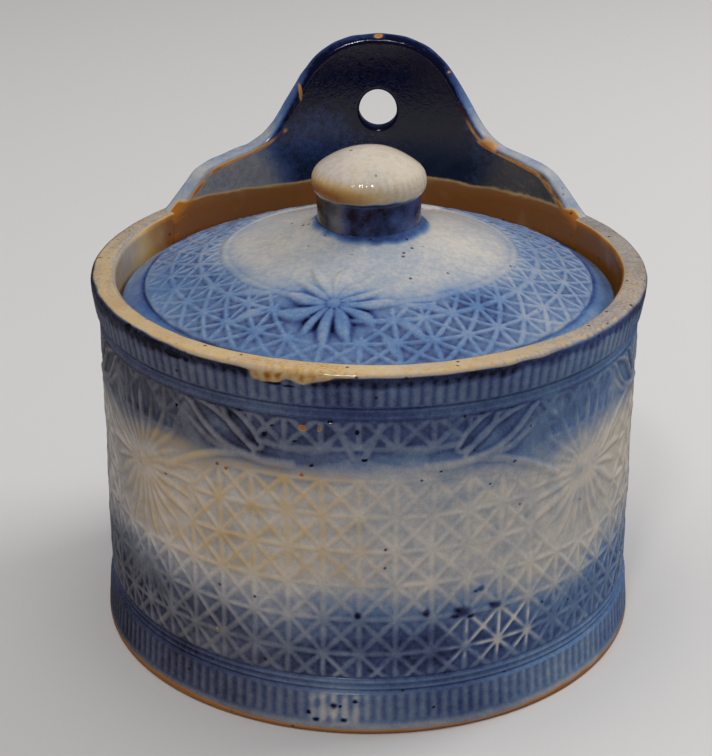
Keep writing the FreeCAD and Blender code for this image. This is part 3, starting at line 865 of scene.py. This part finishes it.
class SALTCROCK_OT_foot(Operator):
    """Foot: bead lines, upright reeds, the dry orange edge and the ring that it stands on"""

    bl_idname = "salt_crock.foot"
    bl_label = "Foot"

    def execute(self, context):
        sizes = context.scene.crock_sizes
        ground, outer = sizes.ground_radius / MM, sizes.foot_radius / MM
        inner, shelf = sizes.well_radius / MM - FOOT_RING, FLOOR_BOX[0].z / MM
        strip, band = sizes.foot_strip / MM, sizes.foot_band / MM
        groove, pitch, field_start = sizes.reed_depth / MM, sizes.bead_pitch / MM, wall_field(sizes)[0]
        turn = ring_turns(sizes.reeds * REED_COLUMNS)[None, :]
        beads, bead_rise = bead_section(ground, band + 0.2, field_start, band + BEAD_OFFSET, pitch)
        below = np.concatenate([
            straight((inner, shelf), (inner, 0.8), 3),
            round_arc(inner + 0.8, 0.8, 0.8, 180, 270, 5),
            straight((inner + 3, 0.0), (outer - 1.6, 0.0), 5),
            round_arc(outer - 0.9, 0.9, 0.9, -90, 0, 9),
            straight((outer - 0.02, 1.2), (outer - 0.12, strip), 6),
            straight((outer - 0.15, strip + 0.4), (outer - 0.75, band - 0.5), 16),
            [(outer - 0.95, band - 0.25), (outer - 1.3, band - 0.05), (ground + 0.25, band + 0.1)]])
        section = np.concatenate([below, beads, [(HIDDEN_RADIUS, field_start), (HIDDEN_RADIUS, shelf)]])
        across, level = section[:, :1], section[:, 1:]
        reeded = smooth(strip - 0.4, strip + 1.4, level) * smooth(band - 0.1, band - 1.0, level)
        reeded = reeded * (across > outer - 1.2)
        crests = reed(turn, sizes.reeds) ** 2
        drift = waver(51, turn, level, 8, 40)
        fine = waver(52, turn, level, 50, 5)
        radius = across - groove * reeded * (1 - crests * (0.8 + 0.2 * waver(53, turn, level, 30, 10)))
        points = turned(radius, level, turn)

        # The reeds have a bald, burnt patch in front, and the edge that it stands on is dry clay.
        bead_pool = np.concatenate([np.zeros((len(below), 1)), 0.5 - bead_rise, np.zeros((2, 1))])
        burnt = spots(turn, level, (
            (-4.5, 8.2, 0.9, 0.8), (-8.0, 3.9, 0.9, 0.5), (-2.4, 4.2, 0.9, 0.6), (-0.2, 9.7, 0.7, 0.5),
            (-9.5, 5.7, 0.6, 0.5), (-3.2, 8.0, 0.4, 0.4), (15.5, 7.0, 0.3, 0.3), (-150.0, 7.0, 1.0, 0.7)),
            outer)
        bald = patch(turn, -9, 1.5, 2.5) * smooth(strip - 1.5, strip + 0.5, level)
        bald = bald * smooth(-0.6, 0.9, fine + 0.6 * crests) * smooth(band + 0.2, band - 1.2, level)
        plain = smooth(strip + 0.6, strip - 1.2, level)
        cobalt = 0.54 + 0.2 * reeded * (0.4 - crests) + 0.14 * bead_pool + 0.08 * drift
        cobalt = cobalt - 0.28 * plain - 0.36 * bald * (0.75 + 0.4 * drift) + 0.9 * burnt
        # Painted shade: more cobalt, and more grey from the bands' shading, on the left of the front.
        cobalt = cobalt + 0.3 * patch(turn, -100, -25, 20)
        ash_and_side_shade = band_greying_with_side_shade(turn) + 0.3 * plain + 0.2 * reeded * crests
        dry = smooth(2.3, 1.4, level + 0.15 * fine + 0.25 * drift + 0.4 * patch(turn, -20, 60, 40))
        dry = np.where(across > inner + 9, dry, 1.0)
        layers = {"cobalt": cobalt, "ash_and_side_shade": ash_and_side_shade, "iron": 0.9 * dry + 0.2 * bald, "bare": dry,
                  "speck": 0.02 + 0.2 * bald}
        put_piece("crock_foot", points, "crock", ["crock_wall"], glazed_stoneware(), layers,
                  strips=4)
        return {"FINISHED"}


def put_lining(sizes):
    """Well's lining: an upright wall with throwing rings, a sine of the height that wanders round."""
    well, low, base = sizes.well_radius / MM, FLOOR_BOX[0].z / MM, LEDGE_BOX[0].z / MM
    turn = ring_turns(INSIDE_COLUMNS)[None, :]
    section = np.concatenate([
        straight((HIDDEN_RADIUS, low), (HIDDEN_RADIUS, base), 4),
        straight((well + 0.3, base), (well + 0.05, base - 0.2), 3),
        straight((well, base - 0.6), (well, low + 0.4), 80),
        straight((well + 0.1, low + 0.1), (well + 0.4, low), 2)])
    across, level = section[:, :1], section[:, 1:]
    throwing = 0.18 * np.sin(level * 1.1 + 0.5 * np.sin(np.radians(turn)))
    points = turned(across + throwing * (np.abs(across - well) < 0.01), level, turn)
    layers = {"cobalt": 0.02 + 0.1 * waver(61, turn, level, 6, 30),
              "iron": 0.72 + 0.2 * waver(62, turn, level, 9, 20), "bare": 0.0, "speck": 0.05}
    put_piece("well_lining", points, "crock", ["crock_wall"], glazed_stoneware(), layers,
              strips=4)


def put_floor():
    """Floor slab: flat below, sunk as a cosine above, its edge rising as a square, with a faint spiral."""
    low, high, edge = FLOOR_BOX[0].z / MM, FLOOR_BOX[1].z / MM, FLOOR_BOX[1].x / MM
    turn = ring_turns(FLOOR_COLUMNS)[None, :]
    under = straight((0.0, low), (edge - 0.3, low), 30)
    rise = straight((edge, low + 0.3), (edge, high + 2.6), 6)
    run = np.linspace(edge - 0.2, 0.0, 70)
    dish = high + 2.7 * np.clip((run - edge + 7) / 7, 0, 1) ** 2
    hollow = dish - 0.6 * np.cos(run / edge * math.pi / 2)
    section = np.concatenate([under, rise, np.stack([run, hollow], 1)])
    across = section[:, :1]
    on_top = np.concatenate([np.zeros(len(under) + len(rise)), np.ones(len(run))])[:, None]
    spiral = 0.12 * np.sin(across * 0.9 - np.radians(turn)) * on_top * smooth(0, 6, across)
    points = turned(across, section[:, 1:] + spiral, turn)
    layers = {"cobalt": 0.03 + 0.1 * waver(64, turn, across, 6, 18),
              "iron": 0.7 + 0.2 * waver(63, turn, across, 6, 18), "bare": 1 - on_top, "speck": 0.06}
    put_piece("floor_slab", points, "crock", ["crock_floor"], glazed_stoneware(), layers,
              closed=False, strips=2)


def put_ledge(sizes):
    """Ledge: a flat seat with a round nose, sloping back to the well's wall below."""
    well, mouth = sizes.well_radius / MM, sizes.mouth_radius / MM
    seat, base = LEDGE_BOX[1].z / MM, LEDGE_BOX[0].z / MM
    turn = ring_turns(INSIDE_COLUMNS)[None, :]
    nose = well - LEDGE_OVERHANG
    section = np.concatenate([
        straight((mouth - 0.1, base), (mouth - 0.1, seat - 0.3), 4),
        straight((mouth - 0.3, seat - 0.05), (nose + 1.4, seat), 10),
        round_arc(nose + 1.1, seat - 1.1, 1.1, 90, 180, 8),
        straight((nose, seat - 1.6), (nose + 0.05, seat - 2.3), 3),
        straight((nose + 0.5, seat - 2.9), (well, base), 8)])
    across, level = section[:, :1], section[:, 1:]
    points = turned(across + 0.15 * waver(65, turn, level, 7, 20), level, turn)
    layers = {"cobalt": 0.0, "iron": 0.8 + 0.2 * waver(66, turn, across, 9, 12), "bare": 0.35, "speck": 0.08}
    put_piece("lid_rest", points, "crock", ["lid_ledge"], glazed_stoneware(), layers, strips=12)


class SALTCROCK_OT_inside(Operator):
    """Inside of the crock: the well's lining, the floor slab and the ledge that carries the lid"""

    bl_idname = "salt_crock.inside"
    bl_label = "Lining, floor and ledge"

    def execute(self, context):
        sizes = context.scene.crock_sizes
        put_lining(sizes)
        put_floor()
        put_ledge(sizes)
        return {"FINISHED"}


def rounded_outline(corners):
    """Open line through (place, height, round) corners, each rounded by a curve of nine points."""
    places = np.array([place[:2] for place in corners], float)
    rounds = [place[2] for place in corners[1:]]
    line = [places[0]]
    for before, corner, after, size in zip(places, places[1:], places[2:], rounds):
        back = (before - corner) / np.linalg.norm(before - corner)
        on = (after - corner) / np.linalg.norm(after - corner)
        half = math.acos(np.clip(back @ on, -1, 1)) / 2
        reach = min(size / math.tan(half), 0.49 * np.linalg.norm(before - corner),
                    0.49 * np.linalg.norm(after - corner))
        share = np.linspace(0, 1, 9)[:, None]
        # A quadratic curve through the two tangent points, bent at the corner, is close to the round.
        line.extend((1 - share) ** 2 * (corner + back * reach) + 2 * share * (1 - share) * corner
                    + share ** 2 * (corner + on * reach))
    line.append(places[-1])
    return np.array(line)


def evenly(line, count):
    """Points at even steps along a line, both ends among them."""
    steps = np.concatenate([[0], np.cumsum(np.linalg.norm(np.diff(line, axis=0), axis=1))])
    at = np.linspace(0, steps[-1], count)
    return np.stack([np.interp(at, steps, line[:, 0]), np.interp(at, steps, line[:, 1])], 1)


def relaxed(outer, inner, rows, rounds):
    """Grid between two closed lines: straight lines at first, then each place the mean of its neighbours."""
    share = np.linspace(0, 1, rows)[:, None, None]
    grid = inner * (1 - share) + outer * share
    for _ in range(rounds):
        grid[1:-1] = (grid[2:] + grid[:-2] + np.roll(grid[1:-1], 1, 1) + np.roll(grid[1:-1], -1, 1)) / 4
    return grid


def plate_outline(outer, tall):
    """Closed line round the hanging plate: length along its back, and height above the rim.

    Half is drawn as (angle, height, round) corners on the plane that touches the plate's back. It is
    mirrored, rounded, laid round the back by its angles, and closed by a base inside the collar."""
    half = [(59.0, -1.0, 0.0), (55.2, 0.9, 3.0), (45.5, 10.3, 16.6), (27.6, 14.5, 20.6), (12.2, tall, 30.0)]
    right = [(outer * math.tan(math.radians(angle)), up, size) for angle, up, size in half]
    left = [(-place, up, size) for place, up, size in right]
    top_line = rounded_outline(left + right[::-1])
    top_line[:, 0] = np.arctan(top_line[:, 0] / outer) * outer
    top_line = evenly(top_line, PLATE_TOP_COLUMNS + 1)
    for _ in range(40):
        top_line[1:-1] = (top_line[2:] + 2 * top_line[1:-1] + top_line[:-2]) / 4
    down = (0, -PLATE_TUCK)
    base = np.array([top_line[-1], top_line[-1] + down, top_line[0] + down, top_line[0]])
    return np.concatenate([top_line[:-1], evenly(base, PLATE_BASE_COLUMNS + 1)[:-1]])


class SALTCROCK_OT_crest(Operator):
    """Hanging plate behind the mouth: a curved slab with worn round edges and a nail hole"""

    bl_idname = "salt_crock.crest"
    bl_label = "Hanging plate"

    def execute(self, context):
        sizes, crock = context.scene.crest_sizes, context.scene.crock_sizes
        inner = sizes.inner_radius / MM
        thick, edge = sizes.thickness / MM, sizes.edge_round / MM
        outer = inner + thick
        rim, tall = crock.rim_height / MM, (sizes.top - crock.rim_height) / MM
        hole, hole_up = sizes.hole_radius / MM, sizes.hole_height / MM

        outline = plate_outline(outer, tall)
        count = len(outline)
        tangent = np.roll(outline, -1, 0) - np.roll(outline, 1, 0)
        tangent /= np.linalg.norm(tangent, axis=1, keepdims=True)
        inward = soften(np.stack([tangent[:, 1], -tangent[:, 0]]), 0, 2).T

        # Spokes from the hole to the outline, spread so that the grid's lines cross the plate evenly.
        lengths = np.linspace(0, 1, PLATE_TOP_COLUMNS + 1)[:-1]
        sweep = np.interp(lengths, [0, 0.10, 0.20, 0.32, 0.5, 0.68, 0.80, 0.90, 1.0],
                          [-140, -122, -98, -62, 0, 62, 98, 122, 140])
        sweep = np.radians(np.concatenate([sweep, np.linspace(140, 220, PLATE_BASE_COLUMNS, endpoint=False)]))
        middle = np.array([0.0, hole_up])
        spoke = np.stack([np.sin(sweep), np.cos(sweep)], 1)

        # Rows run from the hole's edge out over the front face and round the rim, then back over the back.
        face = relaxed(outline + inward * edge, middle + spoke * (hole + HOLE_ROUND),
                       PLATE_FACE_ROWS, RELAX_ROUNDS)
        ease = np.radians(np.linspace(0, 90, 7))[1:]
        rim_rows = [(outline + inward * edge * (1 - math.sin(angle)), edge * (1 - math.cos(angle)))
                    for angle in ease]
        hole_rows = [(middle + spoke * (hole + HOLE_ROUND * (1 - math.sin(angle))),
                      HOLE_ROUND * (1 - math.cos(angle))) for angle in ease]
        front = hole_rows[::-1] + [(row, 0.0) for row in face] + rim_rows
        rows = front + [(row, thick - depth) for row, depth in front[::-1]]
        place = np.stack([row for row, _ in rows])
        depth = np.array([depth for _, depth in rows])[:, None]

        side, up = place[..., 0], place[..., 1]
        behind = 180 - np.degrees(side / outer)
        # How far each place lies inside the edge of its face, and how far over the rim it has gone, 0 to 1.
        to_edge = np.concatenate([np.full((len(hole_rows), count), 20.0),
                                  np.linalg.norm(face - (outline + inward * edge), axis=-1),
                                  np.zeros((len(rim_rows), count))])
        over_edge = np.concatenate([np.zeros(len(hole_rows) + len(face)), np.sin(ease)])[:, None]
        to_edge = np.concatenate([to_edge, to_edge[::-1]])
        over_edge = np.concatenate([over_edge, over_edge[::-1]])
        in_front = depth < thick / 2
        drift = waver(73, behind, up, 8, 30)
        fine = waver(74, behind, up, 40, 9)
        uneven = 0.12 * waver(71, behind, up, 12, 22) * np.where(in_front, 1, -1)
        nick = 0.14 * waver(72, behind, up + depth, 70, 6) * over_edge
        proud = 0.25 * smooth(3, 0, up) * in_front
        points = turned(inner + depth + uneven - proud, rim + up + nick * smooth(1, 4, up), behind)

        # Thick navy in the middle, thin and grey on the wings, rubbed edges, rust on arrises and chips.
        reach = np.abs(side)
        wing = smooth(26, 44, reach + 3 * drift - 0.25 * up) * np.where(in_front, 1.0, 0.4)
        rubbed = smooth(0.45, 0.95, over_edge + 0.1 * fine) * (0.1 + 0.9 * smooth(20, 36, reach + 2 * drift))
        arris = np.exp(-to_edge / 0.6) * smooth(0.8, 0.2, over_edge) * in_front
        arris = arris * smooth(26, 34, reach) * smooth(-1.0, 0.4, fine + drift)
        chip_places = (
            (36.5, 13.2, 4.2, 3.2), (-31.0, 17.6, 0.7, 0.9), (-25.6, 29.0, 0.5, 2.6), (0.0, tall, 1.4, 0.5),
            (23.0, 35.5, 0.4, 0.6), (-40.0, 12.6, 2.4, 0.9))
        chip_turns = [(180 - math.degrees(across / outer), *rest) for across, *rest in chip_places]
        chips = in_front * spots(behind, up, chip_turns, outer) * smooth(4.6, 2.2, to_edge)
        stained = smooth(3.2, 1.2, up + 0.8 * drift + 0.3 * fine) * in_front
        low_left = patch(behind, 185, 235, 14) * smooth(26, 12, up)
        cobalt = 1.06 + 0.06 * drift - 0.11 * low_left - 0.36 * wing - 0.2 * ~in_front
        cobalt = cobalt - np.where(side < 0, 0.24, -0.1) * wing * in_front
        cobalt = cobalt - 0.05 * patch(behind, 140, 165, 12)
        cobalt = cobalt * (1 - rubbed) + rubbed * (0.24 + 0.1 * fine)
        ash_and_side_shade = (0.9 * wing + 0.15 * patch(behind, 90, 165, 20)) * (1 - rubbed) + 0.2 * rubbed
        iron = (0.1 + 0.18 * (side > 0)) * wing * in_front
        iron = np.maximum(iron, stained * mouth_iron(behind))
        iron = np.maximum(iron, np.maximum(arris, chips))
        bare = np.maximum(0.6 * arris, 0.7 * chips)
        layers = {"cobalt": cobalt, "ash_and_side_shade": ash_and_side_shade, "iron": iron, "bare": bare, "speck": 0.02 + 0.06 * rubbed}
        put_piece("crest", points, "crock", ["hanger_plate"], glazed_stoneware(), layers,
                  strips=2)
        return {"FINISHED"}


def dome_level(radius, ring, ring_level, flat, crown):
    """Height of the lid's dome: a straight slope from the incised ring to the flat, swelling as 4t(1-t)."""
    share = np.clip((ring - radius) / (ring - flat), 0, 1)
    return ring_level + (crown - ring_level) * share + 0.7 * 4 * share * (1 - share)


def lid_lines(sizes):
    """Lid's top in section: level of the edge, incised ring and its level, knob's flat and its level."""
    border = sizes.seat_height / MM + sizes.edge_height / MM
    return (border, sizes.ring_radius / MM, border + sizes.border_rise / MM,
            sizes.neck_radius / MM + 1.8, sizes.crown_height / MM)


def flower_places(turn, radius, sizes):
    """Distances from the middle of the nearest daisy on the lid: across, and up towards the knob."""
    spacing = 360 / sizes.flowers
    aside = (turn - math.degrees(sizes.first_flower) + spacing / 2) % spacing - spacing / 2
    return np.radians(aside) * radius, (sizes.flower_radius / MM - radius) * 1.05


def lid_relief(turn, radius, sizes):
    """Height of the lid's pressed pattern: lattice outside two rings, with daisies across them."""
    turn = turn + 0.4 * waver(81, turn, radius, 6, 30)
    run = radius + 0.25 * waver(82, turn, radius, 6, 30)
    width = math.radians(360 / sizes.lattice_columns) * run
    ribs = lattice(turn * sizes.lattice_columns / 360, (run - LID_RINGS[1]) / LID_LATTICE_ROW,
                   width, LID_LATTICE_ROW, 0.05, 0.8)
    uneven = 0.85 + 0.2 * waver(83, turn, radius, 12, 14) + 0.2 * waver(85, turn, radius, 50, 5)
    ribs = ribs * uneven * smooth(LID_RINGS[0], LID_RINGS[0] + 3, run)
    across, up = flower_places(turn, run, sizes)
    flower = daisy(across, up, LID_PETALS, LID_PETAL_LENGTH, LID_PETAL_HALF_WIDTH)
    ribs = ribs * smooth(14.0, 16.5, np.hypot(across, up))
    strokes = np.zeros(turn.shape)
    for path in (((17, -5), (23, -10), (28, -16)),
                 ((18, 0), (25, -2), (32, -6)),
                 ((15, -11), (18, -15), (20, -19))):
        strokes = np.maximum(strokes, leaf(path, 1.8, across, up))
        strokes = np.maximum(strokes, leaf([(-x, y) for x, y in path], 1.8, across, up))
    rings = np.maximum(*(ridge(np.abs(run - ring), 0.25, 1.2) for ring in LID_RINGS))
    relief = np.maximum(0.52 * ribs, 0.3 * rings)
    relief = np.maximum(relief, 0.6 * strokes)
    relief = np.maximum(relief, 0.75 * flower)
    relief = soften(relief, 0.6, 0.6) + 0.08 * waver(84, turn, radius, 9, 14)
    return relief * smooth(LID_PATTERN_EDGE, LID_PATTERN_EDGE - 1.1, radius)


def put_lid_body(sizes):
    """Lid's edge, border and underside: one section carried round, from the hollow out over the edge."""
    border, ring, ring_level, flat, crown = lid_lines(sizes)
    edge, seat = sizes.radius / MM, sizes.seat_height / MM
    ceiling, land = crown - sizes.wall / MM, edge - LID_LAND
    turn = ring_turns(LID_BODY_COLUMNS)[None, :]
    under_run = np.linspace(flat, land - 0.4, 24)
    slope = math.degrees(math.atan2(ring_level - border, edge - ring))
    below = np.concatenate([
        straight((0.0, ceiling), (flat - 0.4, ceiling), 6),
        np.stack([under_run, dome_level(under_run, land, seat, flat, ceiling)], 1),
        straight((land, seat + 0.05), (edge - 0.9, seat), 6)])
    section = np.concatenate([
        below,
        round_arc(edge - 0.7, seat + 0.7, 0.7, -80, 0, 5),
        straight((edge, seat + 1.2), (edge, border - 1.7), 4),
        round_arc(edge - 1.8, border - 1.0, 1.8, 4, 90 - slope, 8),
        straight((edge - 2.0, border + 1.0), (ring + 0.7, ring_level - 0.28), 8),
        round_arc(ring, ring_level + 0.2, 0.6, -30, -150, 7),
        straight((ring - 0.7, ring_level + 0.05), (ring - 1.4, ring_level + 0.2), 3),
        straight((ring - 1.8, ring_level - 0.6), (0.0, crown - 1.0), 12)])
    radius, height = section[:, :1], section[:, 1:]
    outer_edge = smooth(ring + 0.8, ring + 3, radius)
    drift = waver(91, turn, radius + height, 7, 30)
    fine = waver(92, turn, radius + height, 30, 8)
    points = turned(radius + 0.1 * drift * outer_edge, height + 0.12 * drift * outer_edge, turn)
    underside = np.arange(len(section))[:, None] < len(below)
    groove = np.exp(-((radius - ring) / 0.8) ** 2) * ~underside
    cobalt = 0.47 + 0.1 * drift + 0.05 * fine + 0.25 * groove
    layers = {"cobalt": np.where(underside, 0.05 + 0.1 * drift, cobalt),
              "iron": np.where(underside, 0.35 + 0.2 * drift, -0.2),
              "bare": underside * smooth(land - 1, land, radius), "speck": 0.02}
    put_piece("lid_body", points, "lid", ["lid_dome"], glazed_stoneware(), layers,
              closed=False, strips=3)


def put_lid_relief(sizes):
    """Lid's pressed top: the dome raised along its mean slope by the pattern, closed by a hidden back."""
    _, ring, ring_level, flat, crown = lid_lines(sizes)
    turn, radius = np.meshgrid(ring_turns(LID_COLUMNS), np.linspace(LID_PATTERN_EDGE, flat - 3.0, LID_ROWS))
    up_to_knob = 1.6 * smooth(flat + 1.4, flat - 1.8, radius) ** 2
    level = dome_level(radius, ring, ring_level, flat, crown) + up_to_knob
    relief = lid_relief(turn, radius, sizes)
    tilt = math.atan2(crown - ring_level, ring - flat)
    points = turned(radius + relief * math.sin(tilt), level + relief * math.cos(tilt), turn)
    back = turned(radius[[-1, 0]], level[[-1, 0]] - 1.2, turn[:2])

    # The middle is left pale, the rim is sprayed, and thick cobalt has run from the knob's foot.
    pool = pooled(relief, 5, 4, 0.3)
    outline = np.clip(pooled(relief, 2, 2, 0.16), 0, 1)
    drift = waver(93, turn, radius, 7, 22)
    fine = waver(94, turn, radius, 22, 9)
    at_flower = smooth(17.0, 7.0, np.hypot(*flower_places(turn, radius, sizes)))
    sprayed = smooth(33, 46, radius + 0.4 * drift + 0.8 * fine + 2 * np.cos(np.radians(turn)))
    # Painted shade: the outline term adds cobalt along the feet of the ribs.
    spray = 0.34 - 0.04 * patch(turn, 30, 110, 25) + 0.05 * drift + 0.3 * outline
    cobalt = 0.08 + 0.13 * patch(turn, -45, 45, 40) * (1 - 0.5 * sprayed) + 0.03 * pool + sprayed * spray
    cobalt = cobalt + at_flower * sprayed * np.where(pool > 0, 0.35, 0.1) * pool
    run_down = 1.0 * patch(turn, -25, 115, 40) + 0.3 * fine + 0.3 * drift
    cobalt = cobalt + 0.6 * smooth(flat + 0.2, flat - 2.0, radius - run_down)
    ash_and_side_shade = 0.1 + sprayed * 0.2 * smooth(-0.1, 0.6, pool) * (1 - at_flower)
    iron = 0.25 * smooth(24, 17, radius + 2 * fine) * smooth(flat + 0.5, flat + 2.5, radius)
    iron = iron - 0.3 * sprayed
    speck = 0.02 + 0.6 * smooth(26, 18, radius) * patch(turn, -110, 60, 30)
    layers = {"cobalt": cobalt, "ash_and_side_shade": ash_and_side_shade, "iron": iron, "bare": np.zeros_like(cobalt), "speck": speck}
    layers = {name: with_back(layer) for name, layer in layers.items()}
    put_piece("lid_relief", np.concatenate([points, back]), "lid", ["lid_dome"],
              glazed_stoneware(), layers, strips=3)


class SALTCROCK_OT_lid(Operator):
    """Lid: the plain edge, border and underside, and the domed top with its pressed pattern"""

    bl_idname = "salt_crock.lid"
    bl_label = "Lid"

    def execute(self, context):
        sizes = context.scene.lid_sizes
        put_lid_body(sizes)
        put_lid_relief(sizes)
        return {"FINISHED"}


class SALTCROCK_OT_knob(Operator):
    """Knob: a flared neck under an oval cap with faint ribs below its crown"""

    bl_idname = "salt_crock.knob"
    bl_label = "Knob"

    def execute(self, context):
        sizes = context.scene.lid_sizes
        neck, cap = sizes.neck_radius / MM, sizes.cap_radius / MM
        base, top = KNOB_BOX[0].z / MM, sizes.knob_top / MM
        dome = sizes.cap_dome / MM
        widest, under = top - dome, base + sizes.neck_height / MM
        # The crown is the arc through the top that runs on from the shoulder's round with no corner.
        reach = cap - KNOB_SHOULDER
        crown = (reach ** 2 + dome ** 2 - KNOB_SHOULDER ** 2) / (2 * (dome - KNOB_SHOULDER))
        lean = math.degrees(math.atan2(reach, widest - (top - crown)))
        bend = np.linspace(0.15, 1, 10) * math.pi / 2
        section = np.concatenate([
            straight((0.0, base - 0.4), (neck + 1.6, base - 0.4), 4),
            round_arc(neck + 1.8, base + 1.8, 1.8, -100, -180, 8),
            straight((neck, base + 2.3), (neck + 0.05, under - 0.2), 14),
            np.stack([neck + 0.05 + (cap - neck) * np.sin(bend) ** 1.2,
                      under + (widest - under - 0.5) * (1 - np.cos(bend))], 1),
            round_arc(reach, widest, KNOB_SHOULDER, 2, 90 - lean, 18),
            round_arc(0.0, top - crown, crown, 90 - lean + 1.2, 90, 26)])
        section[-1, 0] = 0.0
        turn = ring_turns(KNOB_COLUMNS)[None, :]
        radius, height = section[:, :1], section[:, 1:]
        ribs = (0.5 + 0.5 * np.cos(np.radians(turn) * KNOB_RIBS)) ** 0.7
        ribbed = smooth(under - 0.4, widest - 0.5, height) * smooth(widest + 5.0, widest + 2.2, height)
        drift = waver(101, turn, height, 5, 14)
        fine = waver(102, turn, height, 18, 5)
        round_off = smooth(0, 4, radius)
        points = turned(radius + round_off * (0.15 * ribbed * (ribs - 0.5) + 0.1 * drift),
                        height + 0.06 * drift * round_off, turn)
        on_cap = smooth(under - 0.1, under + 1.3, height + 0.3 * fine + 0.3 * drift)
        streak = patch(turn, -44, -24, 9) * smooth(0.2, 0.9, 1 - on_cap)
        # Painted light: less cobalt on the neck's right side.
        lit_right = patch(turn, 30, 120, 20)
        cobalt = (1 - on_cap) * (0.96 + 0.1 * drift + 0.1 * fine - 0.12 * lit_right - 0.3 * streak)
        cobalt = cobalt + on_cap * (0.05 * drift - 0.06 * ribbed * (ribs - 0.5))
        under_cap = on_cap * smooth(widest + 4.5, widest - 1.5, height)
        iron = 0.3 * streak + under_cap * (0.05 + 0.7 * patch(turn, -130, 0, 45)) + 0.35 * on_cap
        ash_and_side_shade = 0.1 + 0.7 * patch(turn, -90, -25, 15)
        layers = {"cobalt": cobalt, "ash_and_side_shade": ash_and_side_shade, "iron": iron, "bare": 0.0, "speck": 0.02}
        put_piece("knob", points, "lid", ["lid_knob"], glazed_stoneware(), layers,
                  closed=False, strips=2)
        return {"FINISHED"}


class SALTCROCK_OT_stage(Operator):
    """Camera, pale floor, even room light, two wide soft lights and a small light for glints"""

    bl_idname = "salt_crock.stage"
    bl_label = "Stage"

    def execute(self, context):
        scene, stage = context.scene, context.scene.stage_settings
        scene.view_settings.view_transform = "Standard"

        camera_data = bpy.data.cameras.new("camera")
        camera_data.sensor_fit = "VERTICAL"
        camera_data.sensor_height = SENSOR_HEIGHT
        camera_data.lens = stage.lens
        camera_data.clip_start = 0.01
        camera = bpy.data.objects.new("camera", camera_data)
        camera.location = stage.camera_place
        camera.rotation_euler = (math.pi / 2 - stage.camera_pitch, 0.0, stage.camera_heading)
        scene.collection.objects.link(camera)
        scene.camera = camera

        # A sheet, in metres, flat at first, that rises far behind as the square of the depth past its bend.
        bend, steepness = 2.5, 0.18
        across, depth = np.meshgrid(np.linspace(-4, 4, 33), np.linspace(-3, 6, 91))
        rise = steepness * np.clip(depth - bend, 0, None) ** 2
        corners = np.arange(depth.size).reshape(depth.shape)
        faces = np.stack([corners[:-1, :-1], corners[:-1, 1:], corners[1:, 1:], corners[1:, :-1]], -1)
        mesh = bpy.data.meshes.new("floor")
        mesh.from_pydata(np.stack([across, depth, rise], -1).reshape(-1, 3).tolist(), [],
                         faces.reshape(-1, 4).tolist())
        mesh.polygons.foreach_set("use_smooth", np.ones(len(mesh.polygons), bool))
        mesh.materials.append(matt_paper())
        floor = bpy.data.objects.new("floor", mesh)
        scene.collection.objects.link(floor)

        world = bpy.data.worlds.new("room light")
        world.use_nodes = True
        tree = world.node_tree
        glossy = add_node(tree, "ShaderNodeLightPath", {}).outputs["Is Glossy Ray"]
        strength = add_node(tree, "ShaderNodeMapRange", {
            "Value": glossy, "To Min": stage.room_strength,
            "To Max": stage.room_strength * stage.dim_reflection})
        background = tree.nodes["Background"]
        background.inputs["Color"].default_value = (1.0, 1.0, 1.0, 1.0)
        tree.links.new(strength.outputs["Result"], background.inputs["Strength"])
        scene.world = world

        for name, place, size, power, mirrored in (
                ("ceiling light", (-0.15, -0.03, 1.5), 1.2, stage.ceiling_power, False),
                ("key light", (0.85, 0.45, 0.95), 0.6, stage.key_power, False),
                ("glint light", (-0.12, -0.75, 0.95), 0.12, stage.glint_power, True)):
            lamp_data = bpy.data.lights.new(name, "AREA")
            lamp_data.shape = "SQUARE"
            lamp_data.size = size
            lamp_data.energy = power
            lamp = bpy.data.objects.new(name, lamp_data)
            lamp.location = place
            lamp.visible_glossy = mirrored
            aim = -np.array(place) + LIGHT_AIM
            along_floor = math.hypot(aim[0], aim[1])
            lamp.rotation_euler = (math.atan2(along_floor, -aim[2]), 0.0, math.atan2(-aim[0], aim[1]))
            scene.collection.objects.link(lamp)
        return {"FINISHED"}


class SALTCROCK_PT_panel(Panel):
    """Pieces of the salt crock, in the order that they are made"""

    bl_idname = "SALTCROCK_PT_panel"
    bl_label = "Salt crock"
    bl_space_type = "VIEW_3D"
    bl_region_type = "UI"
    bl_category = "Salt crock"

    def draw(self, context):
        for maker in MAKERS:
            self.layout.operator(maker.bl_idname)
        for name in GROUPS:
            group = getattr(context.scene, name)
            box = self.layout.box()
            for key in group.__annotations__:
                box.prop(group, key)


GROUPS = {
    "crock_sizes": CrockSizes,
    "crest_sizes": CrestSizes,
    "lid_sizes": LidSizes,
    "glaze_colours": GlazeColours,
    "stage_settings": StageSettings,
}
MAKERS = (
    SALTCROCK_OT_stage, SALTCROCK_OT_wall, SALTCROCK_OT_collar, SALTCROCK_OT_foot, SALTCROCK_OT_inside,
    SALTCROCK_OT_crest, SALTCROCK_OT_lid, SALTCROCK_OT_knob,
)


def register():
    """Registers the properties, operators and panel."""
    for name, group in GROUPS.items():
        bpy.utils.register_class(group)
        setattr(bpy.types.Scene, name, PointerProperty(type=group))
    for cls in (*MAKERS, SALTCROCK_PT_panel):
        bpy.utils.register_class(cls)


def unregister():
    """Takes the panel, operators and properties away again."""
    for cls in (SALTCROCK_PT_panel, *reversed(MAKERS)):
        bpy.utils.unregister_class(cls)
    for name, group in reversed(GROUPS.items()):
        delattr(bpy.types.Scene, name)
        bpy.utils.unregister_class(group)


def main():
    """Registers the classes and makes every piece."""
    register()
    for maker in MAKERS:
        group, name = maker.bl_idname.split(".")
        getattr(getattr(bpy.ops, group), name)()


if __name__ == "__main__":
    main()
